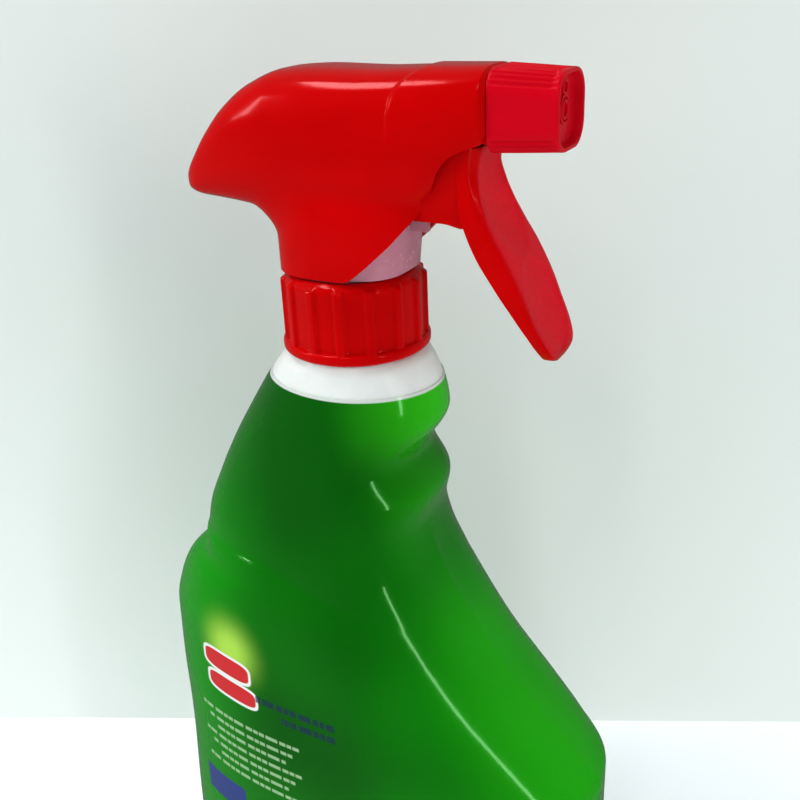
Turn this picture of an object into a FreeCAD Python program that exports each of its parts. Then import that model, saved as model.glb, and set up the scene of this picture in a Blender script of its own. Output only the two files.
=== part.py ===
"""Trigger spray bottle: a blow-moulded bottle in a shrink sleeve with a duck-tail trigger sprayer.

Frame: the origin is the middle of the bottle's standing face, +Z is up and +X points the way the
nozzle sprays. Lengths are in millimetres. Heights in the sprayer are measured from the collar's
lower face and positions along X from the neck's axis, then moved into the frame by place().
"""
import FreeCAD, Part
import math
import os

V = FreeCAD.Vector
X_AXIS = V(1, 0, 0)
Y_AXIS = V(0, 1, 0)
Z_AXIS = V(0, 0, 1)

# ---- bottle ----
SHOULDER_HEIGHT = 173.5      # standing face to the flat land round the neck
BODY_REAR = 57.2             # neck axis to the rear bulge under the saddle
FOOT_REAR = 60.4             # neck axis to the back of the foot
BODY_FRONT = 61.8            # neck axis to the front bulge of the body
FOOT_FRONT = 57.8
BODY_HALF_DEPTH = 29.5
BOTTLE_WALL = 1.2
BASE_CORNER = 6.0            # radius between side and standing face
BASE_RECESS = 2.2            # push-up in the middle of the base
STANDING_RING = 5.0          # width of the ring the bottle stands on
BODY_SQUARENESS = 2.6        # exponent of the body's section, 2 is an ellipse
SHOULDER_LAND = 15.2         # radius of the flat land under the collar

# ---- 28-400 neck finish ----
NECK_RADIUS = 12.5           # half of E, the root of the thread
THREAD_RADIUS = 13.7         # half of T, the crest of the thread
NECK_BORE = 10.8
NECK_LENGTH = 12.5           # shoulder land to rim
THREAD_LEAD = 4.233          # six turns to the inch
THREAD_TURNS = 1.25
THREAD_BASE = 2.1            # width of the bottle's ridge at its root
THREAD_CREST = 1.0
CAP_THREAD_BASE = 1.5        # width of the collar's ridge at its root
CAP_THREAD_CREST = 0.7
FLANK_GAP = 0.12             # between the two ridges when the collar is tight
THREAD_BITE = 0.3            # depth by which a ridge is rooted in its wall

# ---- shrink sleeve ----
SLEEVE_FILM = 0.25
SLEEVE_GAP = 0.05
SLEEVE_TOP_DROP = 7.2        # collar face down to the film's upper edge

# ---- closure collar ----
COLLAR_GAP = 0.5             # shoulder land to the collar's lower face
COLLAR_HEIGHT = 17.7
COLLAR_CORE_RADIUS = 15.55   # between the ribs
COLLAR_RIB_RADIUS = 16.35
COLLAR_RIBS = 15
COLLAR_RIB_ANGLE = 9.5       # degrees each rib covers
COLLAR_FLANGE_RADIUS = 16.8
COLLAR_FLANGE_HEIGHT = 2.5
COLLAR_LIP = 2.0             # thickness of the inward lip at the top
COLLAR_TOP_BEVEL = 0.8
COLLAR_BORE_GAP = 0.3        # collar bore to thread crest
SWIVEL_GAP = 0.35            # collar lip to the housing's stem

# ---- sprayer housing ----
GASKET = 1.5
GASKET_WIDTH = 3.0
FLANGE_GAP = 0.1             # housing flange to the collar's lip
STEM_RADIUS = 12.1
SKIRT_HALF_DEPTH = 12.0
SKIRT_REAR = 12.9
SKIRT_FRONT_LOW = 14.2
SKIRT_FRONT_HIGH = 15.4
SKIRT_BOTTOM = 18.2
SKIRT_TOP = 28.4
SKIRT_WALL = 1.4
RISER_RADIUS = 3.9
RISER_BORE = 1.6
PUMP_HEIGHT = 36.0           # pump cylinder's axis
PUMP_BORE = 5.5
PUMP_WALL = 1.1
PUMP_BACK = 5.0              # inside of the cylinder's closed end
PUMP_MOUTH = 19.0
PUMP_BACK_WALL = 1.6
BARREL_HEIGHT = 52.8         # discharge barrel's axis
BARREL_RADIUS = 4.6
BARREL_BORE = 1.6
BARREL_COUNTERBORE = 3.1
BARREL_REAR = -4.4
BARREL_END = 43.4
SEAT_X = 22.0                # discharge valve's seat
SPIGOT_RADIUS = 5.0
SPIGOT_START = 34.0
BEAD_X = 40.3
BEAD_WIDTH = 1.0
BEAD_HEIGHT = 0.3
WEB_THICKNESS = 1.6
PIN_X = 30.3                 # trigger's hinge pin
PIN_HEIGHT = 50.0
PIN_RADIUS = 1.9
PIN_HALF_LENGTH = 8.3
PIN_GAP = 0.05

# ---- retainer, dip tube and inlet valve ----
RETAINER_DISC = 1.4
RETAINER_SOCKET_RADIUS = 4.0
RETAINER_SOCKET_END = 2.0
PLUG_RADIUS = 3.05
PLUG_TOP = 19.0
RISER_CHAMBER = 2.5          # bore of the ball's chamber
CHAMBER_TOP = 26.0
BALL_RADIUS = 2.0
BALL_LIFT = 1.0
SEAT_BORE = 1.5
CAGE_HEIGHT = 2.0
CAGE_BORE = 1.1
CAGE_SLOT = 0.9
TUBE_RADIUS = 2.5
TUBE_BORE = 1.8
TUBE_SEAT = 12.0             # tube's top end
TUBE_FLOOR_GAP = 3.0
SLIP = 0.02                  # radial gap of a part that is pushed in and stays

# ---- plunger ----
ROD_RADIUS = 2.4
ROD_BACK = 12.8
ROD_FACE = 25.1
ROD_HEAD_RADIUS = 4.9
ROD_HEAD = 1.6
ROD_RECESS_RADIUS = 1.5
CUP_LENGTH = 3.0
CUP_LIP = 0.06               # gap of the seal lips in the bore
VENT_LENGTH = 1.6
VENT_X = 17.6
SPRING_RADIUS = 4.1
SPRING_WIRE = 0.35
SPRING_TURNS = 6
SPRING_END_GAP = 0.1

# ---- discharge valve, spinner and nozzle ----
VALVE_RADIUS = 2.5
VALVE_LENGTH = 3.2
VALVE_TRAVEL_GAP = 0.02
DISCHARGE_SPRING_RADIUS = 2.1
DISCHARGE_SPRING_WIRE = 0.35
DISCHARGE_SPRING_TURNS = 5
SPINNER_STEM_RADIUS = 2.9
SPINNER_REAR = 36.8
SPINNER_GROOVES = 3
SPINNER_GROOVE = 0.8
SPINNER_HEAD_RADIUS = 3.2
NOZZLE_SEAL_WIDTH = 1.2
NOZZLE_REAR = 36.5
NOZZLE_FRONT = 49.6
NOZZLE_HALF_REAR = 7.9
NOZZLE_HALF_FRONT = 7.4
NOZZLE_CORNER = 4.0
NOZZLE_WALL = 1.4
NOZZLE_HUB_WALL = 1.3
NOZZLE_HUB_START = 38.0
NOZZLE_FACE_RECESS = 1.7
NOZZLE_FACE_RADIUS = 6.0
NOZZLE_FACE = 1.5
NOZZLE_GAP = 0.05            # running fit on the spigot
ORIFICE_RADIUS = 1.9
ORIFICE_BORE = 0.25
ORIFICE_RING = 0.5

# ---- trigger ----
TRIGGER_WALL = 1.2
TRIGGER_PLATE_INNER = 7.0
TRIGGER_BOSS_RADIUS = 3.0
TRIGGER_BAR_X = 27.5
TRIGGER_BAR_RADIUS = 2.0
TRIGGER_FRONT_WALL = 1.8
TRIGGER_WEB_BOTTOM = 31.2

# ---- shroud ----
SHROUD_WALL = 1.2
SHROUD_BOTTOM = 18.3
SHROUD_FRONT = 35.5
SHROUD_SKIRT_REAR = 15.5
SHROUD_SKIRT_FRONT = 24.0     # the sides run on past the neck before the mouth cuts them
HOOD_MOUTH_DROP = 14.0       # how far the hollow runs below the hood to open its underside
SHROUD_SKIRT_HALF_DEPTH = 14.0
SHROUD_SQUARENESS = 3.2
CLIP_THICKNESS = 1.6
LUG_LENGTH = 6.0
LUG_HEIGHT = 3.0

# ---- values that follow from the sizes above ----
NECK_X = (FOOT_REAR - BODY_FRONT) / 2
COLLAR_Z = SHOULDER_HEIGHT + COLLAR_GAP
RIM = NECK_LENGTH - COLLAR_GAP
FLANGE_LOW = RIM + GASKET
FLANGE_HIGH = COLLAR_HEIGHT - COLLAR_LIP - FLANGE_GAP
FLANGE_RADIUS = THREAD_RADIUS - 0.8
COLLAR_BORE = THREAD_RADIUS + COLLAR_BORE_GAP
COLLAR_HOLE = STEM_RADIUS + SWIVEL_GAP
THREAD_TOP = RIM - THREAD_BASE / 2 - 0.6
THREAD_LOW = THREAD_TOP - THREAD_LEAD * THREAD_TURNS
THREAD_STEP = (THREAD_BASE + CAP_THREAD_BASE) / 2 + FLANK_GAP
PUMP_OUTER = PUMP_BORE + PUMP_WALL
NOZZLE_HUB_BORE = SPIGOT_RADIUS + NOZZLE_GAP
NOZZLE_HUB_RADIUS = NOZZLE_HUB_BORE + BEAD_HEIGHT + NOZZLE_HUB_WALL
FACE_FRONT = NOZZLE_FRONT - NOZZLE_FACE_RECESS
FACE_BACK = FACE_FRONT - NOZZLE_FACE
BALL_HEIGHT = PLUG_TOP + math.sqrt(BALL_RADIUS ** 2 - SEAT_BORE ** 2)
CAGE_LOW = BALL_HEIGHT + BALL_RADIUS + BALL_LIFT + 0.2

# Side outlines of the bottle as (drop below the collar's face, reach from the neck's axis).
REAR_OUTLINE = [
    (0.5, SHOULDER_LAND), (2.6, 17.7), (6.8, 21.2), (11, 24.1), (17, 28.0), (27, 34.1), (37, 39.2),
    (47, 43.3), (53, 44.3), (57.5, 43.4), (61, 49.4), (64.4, 52.6), (70, 55.3), (77, BODY_REAR),
    (86, BODY_REAR), (105, BODY_REAR), (150, FOOT_REAR - 0.6), (SHOULDER_HEIGHT, FOOT_REAR),
]
FRONT_OUTLINE = [
    (0.5, SHOULDER_LAND), (2.2, 17.3), (8.5, 20.1), (14, 20.8), (26, 14.9), (34, 19.0), (43, 17.0),
    (51, 18.7), (58.7, 22.2), (66, 26.6), (80, 36.6), (95, 50.6), (102, 56.9), (109, BODY_FRONT),
    (117, BODY_FRONT), (SHOULDER_HEIGHT, FOOT_FRONT),
]
DEPTH_OUTLINE = [
    (0.5, SHOULDER_LAND), (3, 16.2), (7, 17.0), (30, 20.5), (50, 23.6), (75, 27.5),
    (100, BODY_HALF_DEPTH), (SHOULDER_HEIGHT, BODY_HALF_DEPTH),
]
SECTION_DROPS = [0.5, 1.5, 3, 5, 8, 11, 14, 18, 22, 27, 32, 37, 41, 45, 49, 53, 57.5]
BODY_DROPS = [57.5, 59.2, 61, 63, 66, 70, 75, 80, 86, 92, 98, 103, 108, 115, 125, 140]

# Shroud's vertical sections along X as (position, underside, top, half width).
SHROUD_STATIONS = [
    (-38.8, 34.2, 36.7, 5.5), (-37.0, 32.9, 39.5, 7.8), (-34.0, 32.3, 43.2, 9.8),
    (-30.0, 32.0, 48.2, 11.2), (-24.8, 31.6, 53.4, 12.4), (-19.0, 30.9, 57.3, 13.2),
    (-11.4, 29.9, 59.9, 13.8), (-2, 29.9, 60.4, 14.0), (10, 30.0, 60.5, 13.5),
    (20, 33.0, 60.8, 12.3), (29, 40.5, 60.9, 10.8), (SHROUD_FRONT, 45.4, 61.0, 9.2),
]
# Slanted lower front edge of the shroud, from the hood's mouth down to the skirt's rim.
SHROUD_EDGE = [(SHROUD_FRONT, 47.2), (31.6, 46.1), (28.6, 44.7), (26.6, 42.5), (24.6, 38.6), (21.0, 32.4),
               (16.2, 26.8), (11.5, 22.4), (6.5, SHROUD_BOTTOM - 0.3)]

# Trigger blade's level sections as (height, front, rear, half width in front, half width behind).
TRIGGER_STATIONS = [
    (46.0, 33.6, 29.2, 4.4, 8.2), (42.0, 33.1, 29.4, 5.6, 8.3), (38.0, 33.8, 29.8, 7.0, 8.6),
    (34.0, 35.2, 30.3, 8.1, 9.2), (30.0, 37.2, 31.7, 8.9, 9.5), (25.0, 40.3, 34.1, 9.2, 9.6),
    (19.0, 43.4, 38.1, 9.2, 9.6), (13.0, 45.9, 42.4, 8.9, 9.3), (8.5, 48.0, 45.3, 8.0, 8.4),
    (5.0, 49.2, 47.0, 6.0, 6.4), (3.2, 49.2, 47.6, 3.6, 4.0),
]


def place(shape):
    """Moves a shape from neck coordinates into the object's frame."""
    moved = shape.copy()
    moved.translate(V(NECK_X, 0, COLLAR_Z))
    return moved


def export(node, shape):
    """Writes one sub-part and prints its size, so that a broken solid is seen at once."""
    shape = shape.removeSplitter() if shape.ShapeType != "Compound" else shape
    shape.exportStep("parts/" + node + ".step")
    print(f"{node:18s} solids {len(shape.Solids)} valid {shape.isValid()} volume {shape.Volume:10.1f}")


def rod_z(radius, low, high, x=0.0, y=0.0):
    return Part.makeCylinder(radius, high - low, V(x, y, low), Z_AXIS)


def rod_x(radius, rear, front, height, y=0.0):
    return Part.makeCylinder(radius, front - rear, V(rear, y, height), X_AXIS)


def rod_y(radius, x, height, half_length):
    return Part.makeCylinder(radius, 2 * half_length, V(x, -half_length, height), Y_AXIS)


def block(x0, x1, half_width, low, high):
    return Part.makeBox(x1 - x0, 2 * half_width, high - low, V(x0, -half_width, low))


def plate(points, y0, y1):
    """Side-view outline of (x, height) points made into a plate from y0 to y1."""
    ring = [V(x, y0, z) for x, z in points]
    return Part.Face(Part.makePolygon(ring + ring[:1])).extrude(V(0, y1 - y0, 0))


def plate_pair(points, inner, outer):
    """The same plate on both sides of the middle plane."""
    return plate(points, inner, outer).fuse(plate(points, -outer, -inner))


def turned(points, origin, axis):
    """Solid of revolution from (radius, distance along the axis) points."""
    side = Y_AXIS if axis is X_AXIS else X_AXIS
    ring = [origin + side * radius + axis * along for radius, along in points]
    return Part.Face(Part.makePolygon(ring + ring[:1])).revolve(origin, axis, 360)


def outline_value(outline, position):
    """Smooth value of an outline: cubic pieces whose slopes never overshoot the points."""
    spans = list(zip(outline, outline[1:]))
    rises = [(b[1] - a[1]) / (b[0] - a[0]) for a, b in spans]
    slopes = [rises[0]] + [0 if r * s <= 0 else 2 * r * s / (r + s) for r, s in zip(rises, rises[1:])]
    slopes.append(rises[-1])
    last = len(spans) - 1
    i = next((k for k, (a, b) in enumerate(spans) if position <= b[0]), last)
    (x0, y0), (x1, y1) = spans[i]
    h = x1 - x0
    t = (position - x0) / h
    return (y0 * (1 + 2 * t) * (1 - t) ** 2 + h * slopes[i] * t * (1 - t) ** 2
            + y1 * t * t * (3 - 2 * t) + h * slopes[i + 1] * t * t * (t - 1))


def closed_curve(points):
    curve = Part.BSplineCurve()
    curve.interpolate(Points=points, PeriodicFlag=True)
    return Part.Wire([curve.toShape()])


def oval(front, rear, side, power, count=24):
    """Points (along, across) of a rounded outline with its own reach in front and behind."""
    points = []
    for k in range(count):
        angle = 2 * math.pi * k / count
        c, s = math.cos(angle), math.sin(angle)
        reach = front if c >= 0 else rear
        along = math.copysign(abs(c) ** (2 / power), c) * reach
        across = math.copysign(abs(s) ** (2 / power), s) * side
        points.append((along, across))
    return points


# ---- bottle and sleeve ----

def bottle_section(drop, grow, corner=0.0):
    """Level section of the bottle at a drop below the collar's face, grown outwards by grow."""
    blend = min(1.0, max(0.0, (drop - 8) / 50))
    power = 2 + (BODY_SQUARENESS - 2) * blend
    extra = grow - corner
    reach = [outline_value(o, drop) + extra for o in (FRONT_OUTLINE, REAR_OUTLINE, DEPTH_OUTLINE)]
    return closed_curve([V(x, y, -drop) for x, y in oval(reach[0], reach[1], reach[2], power)])


def bottle_skin(grow, floor):
    """Solids of the neck part and the body of the bottle, grown outwards by grow, standing at floor."""
    upper = [bottle_section(d, grow) for d in SECTION_DROPS]
    lower = [bottle_section(d, grow) for d in BODY_DROPS]
    radius = BASE_CORNER
    foot = COLLAR_Z - floor
    for degrees in (0, 25, 45, 65, 80, 90):
        angle = math.radians(degrees)
        rise = radius * (1 - math.sin(angle))
        lower.append(bottle_section(foot - rise, grow, radius * (1 - math.cos(angle))))
    return Part.makeLoft(upper, True, False), Part.makeLoft(lower, True, False)


def thread_ridge(root, crest, base_width, crest_width, middle, turns):
    """Helical ridge from its root radius to its crest radius, its first turn centred at middle."""
    helix = Part.makeHelix(THREAD_LEAD, THREAD_LEAD * turns, root)
    helix.translate(V(0, 0, middle))
    foot, tip = base_width / 2, crest_width / 2
    corners = [(root, -foot), (crest, -tip), (crest, tip), (root, foot)]
    ring = [V(r, 0, middle + z) for r, z in corners]
    return Part.Wire(helix.Edges).makePipeShell([Part.makePolygon(ring + ring[:1])], True, True)


def make_bottle():
    land = -COLLAR_GAP
    reach = 2 * SHOULDER_LAND
    neck_part, body = bottle_skin(0.0, 0.0)
    neck_hollow, body_hollow = bottle_skin(-BOTTLE_WALL, BASE_RECESS + BOTTLE_WALL)
    neck_hollow = neck_hollow.cut(block(-reach, reach, reach, land - BOTTLE_WALL, land + 1))
    shell = neck_part.fuse(body).cut(neck_hollow.fuse(body_hollow))
    recess_reach = BASE_CORNER + STANDING_RING
    foot = COLLAR_Z
    rings = [bottle_section(foot + 0.1, 0, recess_reach),
             bottle_section(foot - BASE_RECESS, 0, recess_reach + 4)]
    shell = shell.cut(Part.makeLoft(rings, True, True))
    shell = shell.fuse(rod_z(NECK_RADIUS, land - BOTTLE_WALL, RIM))
    root = NECK_RADIUS - THREAD_BITE
    ridge = thread_ridge(root, THREAD_RADIUS, THREAD_BASE, THREAD_CREST, THREAD_LOW, THREAD_TURNS)
    shell = shell.fuse(ridge)
    return shell.cut(rod_z(NECK_BORE, land - 4 * BOTTLE_WALL, RIM + 1))


def make_sleeve():
    outer = bottle_skin(SLEEVE_GAP + SLEEVE_FILM, 0.0)
    inner = bottle_skin(SLEEVE_GAP, 0.0)
    low = BASE_CORNER - COLLAR_Z
    reach = 2 * BODY_FRONT
    band = block(-reach, reach, reach, low, -SLEEVE_TOP_DROP)
    film = [skin.cut(core).common(band) for skin, core in zip(outer, inner)]
    return film[0].fuse(film[1])


# ---- closure ----

def make_collar():
    body = rod_z(COLLAR_CORE_RADIUS, 0, COLLAR_HEIGHT - COLLAR_TOP_BEVEL)
    crown = Part.makeCone(COLLAR_CORE_RADIUS, COLLAR_CORE_RADIUS - COLLAR_TOP_BEVEL / 2, COLLAR_TOP_BEVEL,
                          V(0, 0, COLLAR_HEIGHT - COLLAR_TOP_BEVEL), Z_AXIS)
    flange = rod_z(COLLAR_FLANGE_RADIUS, 0, COLLAR_FLANGE_HEIGHT)
    flange = flange.makeFillet(0.7, [e for e in flange.Edges if e.Curve.TypeId == "Part::GeomCircle"])
    body = body.fuse([crown, flange])
    rib_width = 2 * COLLAR_RIB_RADIUS * math.sin(math.radians(COLLAR_RIB_ANGLE / 2))
    rib_top = COLLAR_HEIGHT - COLLAR_TOP_BEVEL
    rib = Part.makeBox(2.5, rib_width, rib_top - 1, V(COLLAR_RIB_RADIUS - 2.5, -rib_width / 2, 1))
    rib = rib.makeFillet(0.6, [e for e in rib.Edges if e.BoundBox.XMin > COLLAR_RIB_RADIUS - 0.01])
    for k in range(COLLAR_RIBS):
        body = body.fuse(rib.rotated(V(0, 0, 0), Z_AXIS, 360 * k / COLLAR_RIBS))
    body = body.cut(rod_z(COLLAR_BORE, -1, COLLAR_HEIGHT - COLLAR_LIP))
    body = body.cut(rod_z(COLLAR_HOLE, COLLAR_HEIGHT - COLLAR_LIP - 1, COLLAR_HEIGHT + 1))
    crest = NECK_RADIUS + 0.25
    root = COLLAR_BORE + THREAD_BITE
    return body.fuse(thread_ridge(root, crest, CAP_THREAD_BASE, CAP_THREAD_CREST, THREAD_LOW - THREAD_STEP,
                                  THREAD_TURNS - 0.05))


def make_gasket():
    outer = NECK_RADIUS + 0.3
    return rod_z(outer, RIM, FLANGE_LOW).cut(rod_z(outer - GASKET_WIDTH, RIM, FLANGE_LOW))


# ---- sprayer housing ----

def skirt_solid(shrink, low, high):
    """Flared housing skirt between collar and shroud, shrunk inwards by shrink."""
    wires = []
    for height in (SKIRT_BOTTOM, SKIRT_TOP):
        share = (height - SKIRT_BOTTOM) / (SKIRT_TOP - SKIRT_BOTTOM)
        front = SKIRT_FRONT_LOW + share * (SKIRT_FRONT_HIGH - SKIRT_FRONT_LOW) - shrink
        outline = oval(front, SKIRT_REAR - shrink, SKIRT_HALF_DEPTH - shrink, 3.0)
        wires.append(closed_curve([V(x, y, height) for x, y in outline]))
    solid = Part.makeLoft(wires, True, True)
    reach = 2 * SKIRT_FRONT_HIGH
    return solid.common(block(-reach, reach, reach, low, high))


def make_housing():
    flange = rod_z(FLANGE_RADIUS, FLANGE_LOW, FLANGE_HIGH)
    stem = rod_z(STEM_RADIUS, FLANGE_HIGH, SKIRT_BOTTOM + SKIRT_WALL)
    skirt = skirt_solid(0, SKIRT_BOTTOM, SKIRT_TOP)
    skirt = skirt.cut(skirt_solid(SKIRT_WALL, SKIRT_BOTTOM + SKIRT_WALL, SKIRT_TOP - SKIRT_WALL))
    riser = rod_z(RISER_RADIUS, FLANGE_LOW, BARREL_HEIGHT)
    pump = rod_x(PUMP_OUTER, PUMP_BACK - PUMP_BACK_WALL, PUMP_MOUTH, PUMP_HEIGHT)
    barrel = rod_x(BARREL_RADIUS, BARREL_REAR, SPIGOT_START, BARREL_HEIGHT)
    spigot = rod_x(SPIGOT_RADIUS, SPIGOT_START, BARREL_END, BARREL_HEIGHT)
    bead_rear = BEAD_X - BEAD_WIDTH / 2
    bead = rod_x(SPIGOT_RADIUS + BEAD_HEIGHT, bead_rear, bead_rear + BEAD_WIDTH, BARREL_HEIGHT)
    pin = rod_y(PIN_RADIUS, PIN_X, PIN_HEIGHT, PIN_HALF_LENGTH)
    web_top = BARREL_HEIGHT - BARREL_RADIUS / 2
    web = block(0, PUMP_MOUTH, WEB_THICKNESS / 2, SKIRT_TOP - SKIRT_WALL, web_top)
    lug = block(-LUG_LENGTH / 2, LUG_LENGTH / 2, SHROUD_SKIRT_HALF_DEPTH - SHROUD_WALL,
                SKIRT_TOP - LUG_HEIGHT - 1, SKIRT_TOP - 1)
    lug = lug.cut(skirt_solid(SKIRT_WALL, SKIRT_BOTTOM, SKIRT_TOP))
    lug = lug.common(shroud_skirt(SHROUD_WALL, SHROUD_BOTTOM, SKIRT_TOP))
    body = flange.fuse([stem, skirt, riser, pump, barrel, spigot, bead, pin, web, lug])
    bores = [
        rod_z(PLUG_RADIUS, FLANGE_LOW - 1, PLUG_TOP),
        rod_z(RISER_CHAMBER, PLUG_TOP, CHAMBER_TOP),
        rod_z(RISER_BORE, CHAMBER_TOP, BARREL_HEIGHT),
        rod_x(PUMP_BORE, PUMP_BACK, PUMP_MOUTH + 1, PUMP_HEIGHT),
        rod_x(RISER_BORE, 0, PUMP_BACK, PUMP_HEIGHT),
        rod_x(BARREL_BORE, 0, SEAT_X, BARREL_HEIGHT),
        rod_x(BARREL_COUNTERBORE, SEAT_X, BARREL_END + 1, BARREL_HEIGHT),
        rod_z(0.5, SKIRT_TOP - 2 * SKIRT_WALL, PUMP_HEIGHT, VENT_X - 1.5),
        rod_z(0.8, FLANGE_LOW - 1, SKIRT_BOTTOM + 2 * SKIRT_WALL, 6.5),
    ]
    return body.cut(bores)


def make_retainer():
    disc_radius = NECK_RADIUS + 0.3 - GASKET_WIDTH - 0.2
    disc = rod_z(disc_radius, FLANGE_LOW - RETAINER_DISC, FLANGE_LOW)
    socket = rod_z(RETAINER_SOCKET_RADIUS, RETAINER_SOCKET_END, FLANGE_LOW)
    plug = rod_z(PLUG_RADIUS - SLIP, FLANGE_LOW, PLUG_TOP)
    cone_low = PLUG_TOP - 1.2
    seat = Part.makeCone(SEAT_BORE - 0.4, SEAT_BORE, PLUG_TOP - cone_low, V(0, 0, cone_low), Z_AXIS)
    bores = [rod_z(TUBE_RADIUS + SLIP, RETAINER_SOCKET_END - 1, TUBE_SEAT),
             rod_z(SEAT_BORE - 0.4, TUBE_SEAT, cone_low), seat,
             rod_z(0.8, FLANGE_LOW - RETAINER_DISC - 1, FLANGE_LOW + 1, 6.5)]
    return disc.fuse([socket, plug]).cut(bores)


def make_dip_tube():
    low = TUBE_FLOOR_GAP + BASE_RECESS + BOTTLE_WALL - COLLAR_Z
    return rod_z(TUBE_RADIUS, low, TUBE_SEAT).cut(rod_z(TUBE_BORE, low, TUBE_SEAT))


def make_ball():
    return Part.makeSphere(BALL_RADIUS, V(0, 0, BALL_HEIGHT))


def make_ball_cage():
    high = CAGE_LOW + CAGE_HEIGHT
    ring = rod_z(RISER_CHAMBER - SLIP, CAGE_LOW, high).cut(rod_z(CAGE_BORE, CAGE_LOW, high))
    slot = Part.makeBox(RISER_CHAMBER, CAGE_SLOT, CAGE_HEIGHT / 2, V(0, -CAGE_SLOT / 2, CAGE_LOW))
    return ring.cut([slot.rotated(V(0, 0, 0), Z_AXIS, 120 * k) for k in range(3)])


# ---- plunger ----

def make_piston_rod():
    origin = V(0, 0, PUMP_HEIGHT)
    outline = [
        (0, ROD_BACK), (ROD_RADIUS, ROD_BACK), (ROD_RADIUS, ROD_FACE - ROD_HEAD),
        (ROD_HEAD_RADIUS, ROD_FACE - ROD_HEAD), (ROD_HEAD_RADIUS, ROD_FACE - 0.4),
        (ROD_HEAD_RADIUS - 0.4, ROD_FACE), (ROD_RECESS_RADIUS, ROD_FACE), (0, ROD_FACE),
    ]
    return turned(outline, origin, X_AXIS)


def make_seal_ring(rear, length, flare):
    """Soft ring on the plunger with a lip that opens towards the liquid."""
    lip = PUMP_BORE - CUP_LIP
    outline = [
        (ROD_RADIUS + SLIP, rear + flare), (ROD_RADIUS + 1.4, rear + flare), (lip - 0.5, rear), (lip, rear),
        (lip, rear + 0.5), (lip - 0.7, rear + length), (ROD_RADIUS + SLIP, rear + length),
    ]
    return turned(outline, V(0, 0, PUMP_HEIGHT), X_AXIS)


def coil_x(radius, wire, rear, front, turns, height):
    """Coil spring along X between two flat faces."""
    length = front - rear - 2 * wire
    helix = Part.makeHelix(length / turns, length, radius)
    slope = length / turns / (2 * math.pi * radius)
    ring = Part.Wire(Part.makeCircle(wire, V(radius, 0, 0), V(0, 1, slope)))
    coil = Part.Wire(helix.Edges).makePipeShell([ring], True, True)
    coil.rotate(V(0, 0, 0), Y_AXIS, 90)
    coil.translate(V(rear + wire, 0, height))
    return coil


# ---- discharge ----

def make_discharge_valve():
    rear = SEAT_X + VALVE_TRAVEL_GAP
    outline = [(0, rear), (VALVE_RADIUS, rear), (VALVE_RADIUS, rear + 1.2), (1.4, rear + 1.6),
               (1.4, rear + VALVE_LENGTH), (0, rear + VALVE_LENGTH)]
    return turned(outline, V(0, 0, BARREL_HEIGHT), X_AXIS)


def make_spinner():
    stem = rod_x(SPINNER_STEM_RADIUS, SPINNER_REAR, BARREL_END, BARREL_HEIGHT)
    head = rod_x(SPINNER_HEAD_RADIUS, BARREL_END, FACE_BACK - 0.1, BARREL_HEIGHT)
    body = stem.fuse(head)
    middle = V(0, 0, BARREL_HEIGHT)
    groove = Part.makeBox(FACE_BACK - SPINNER_REAR, SPINNER_GROOVE, SPINNER_GROOVE,
                          V(SPINNER_REAR, -SPINNER_GROOVE / 2, BARREL_HEIGHT + SPINNER_STEM_RADIUS - 0.7))
    turns = [360 * k / SPINNER_GROOVES for k in range(SPINNER_GROOVES)]
    return body.cut([groove.rotated(middle, X_AXIS, turn) for turn in turns])


def make_nozzle_seal():
    front = BARREL_END + NOZZLE_SEAL_WIDTH
    ring = rod_x(SPIGOT_RADIUS - 0.25, BARREL_END, front, BARREL_HEIGHT)
    return ring.cut(rod_x(SPINNER_HEAD_RADIUS + 0.1, BARREL_END, front, BARREL_HEIGHT))


def square_section(x, half, corner):
    """Rounded square across X, centred on the discharge barrel."""
    box = Part.makeBox(1, 2 * half, 2 * half, V(x, -half, BARREL_HEIGHT - half))
    box = box.makeFillet(corner, [e for e in box.Edges if abs(e.tangentAt(e.FirstParameter).x) > 0.9])
    face = min(box.Faces, key=lambda f: f.CenterOfMass.x)
    return face.OuterWire


def make_nozzle():
    shell = Part.makeLoft([square_section(NOZZLE_REAR, NOZZLE_HALF_REAR, NOZZLE_CORNER),
                           square_section(NOZZLE_FRONT, NOZZLE_HALF_FRONT, NOZZLE_CORNER)], True, True)
    hollow = Part.makeLoft([
        square_section(NOZZLE_REAR - 1, NOZZLE_HALF_REAR - NOZZLE_WALL, NOZZLE_CORNER - NOZZLE_WALL / 2),
        square_section(FACE_BACK - 1, NOZZLE_HALF_FRONT - NOZZLE_WALL, NOZZLE_CORNER - NOZZLE_WALL / 2),
    ], True, True)
    hub = rod_x(NOZZLE_HUB_RADIUS, NOZZLE_HUB_START, FACE_BACK, BARREL_HEIGHT)
    cap = shell.cut(hollow).fuse(hub)
    cap = cap.cut(rod_x(NOZZLE_FACE_RADIUS, FACE_FRONT, NOZZLE_FRONT + 1, BARREL_HEIGHT))
    bead_gap = BEAD_WIDTH / 2 + 0.3
    return cap.cut([
        rod_x(NOZZLE_HUB_BORE, NOZZLE_HUB_START - 1, FACE_BACK, BARREL_HEIGHT),
        rod_x(SPIGOT_RADIUS + BEAD_HEIGHT + NOZZLE_GAP, BEAD_X - bead_gap, BEAD_X + bead_gap, BARREL_HEIGHT),
        rod_x(ORIFICE_RADIUS + SLIP, FACE_BACK - 1, FACE_FRONT + 1, BARREL_HEIGHT),
    ])


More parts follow.
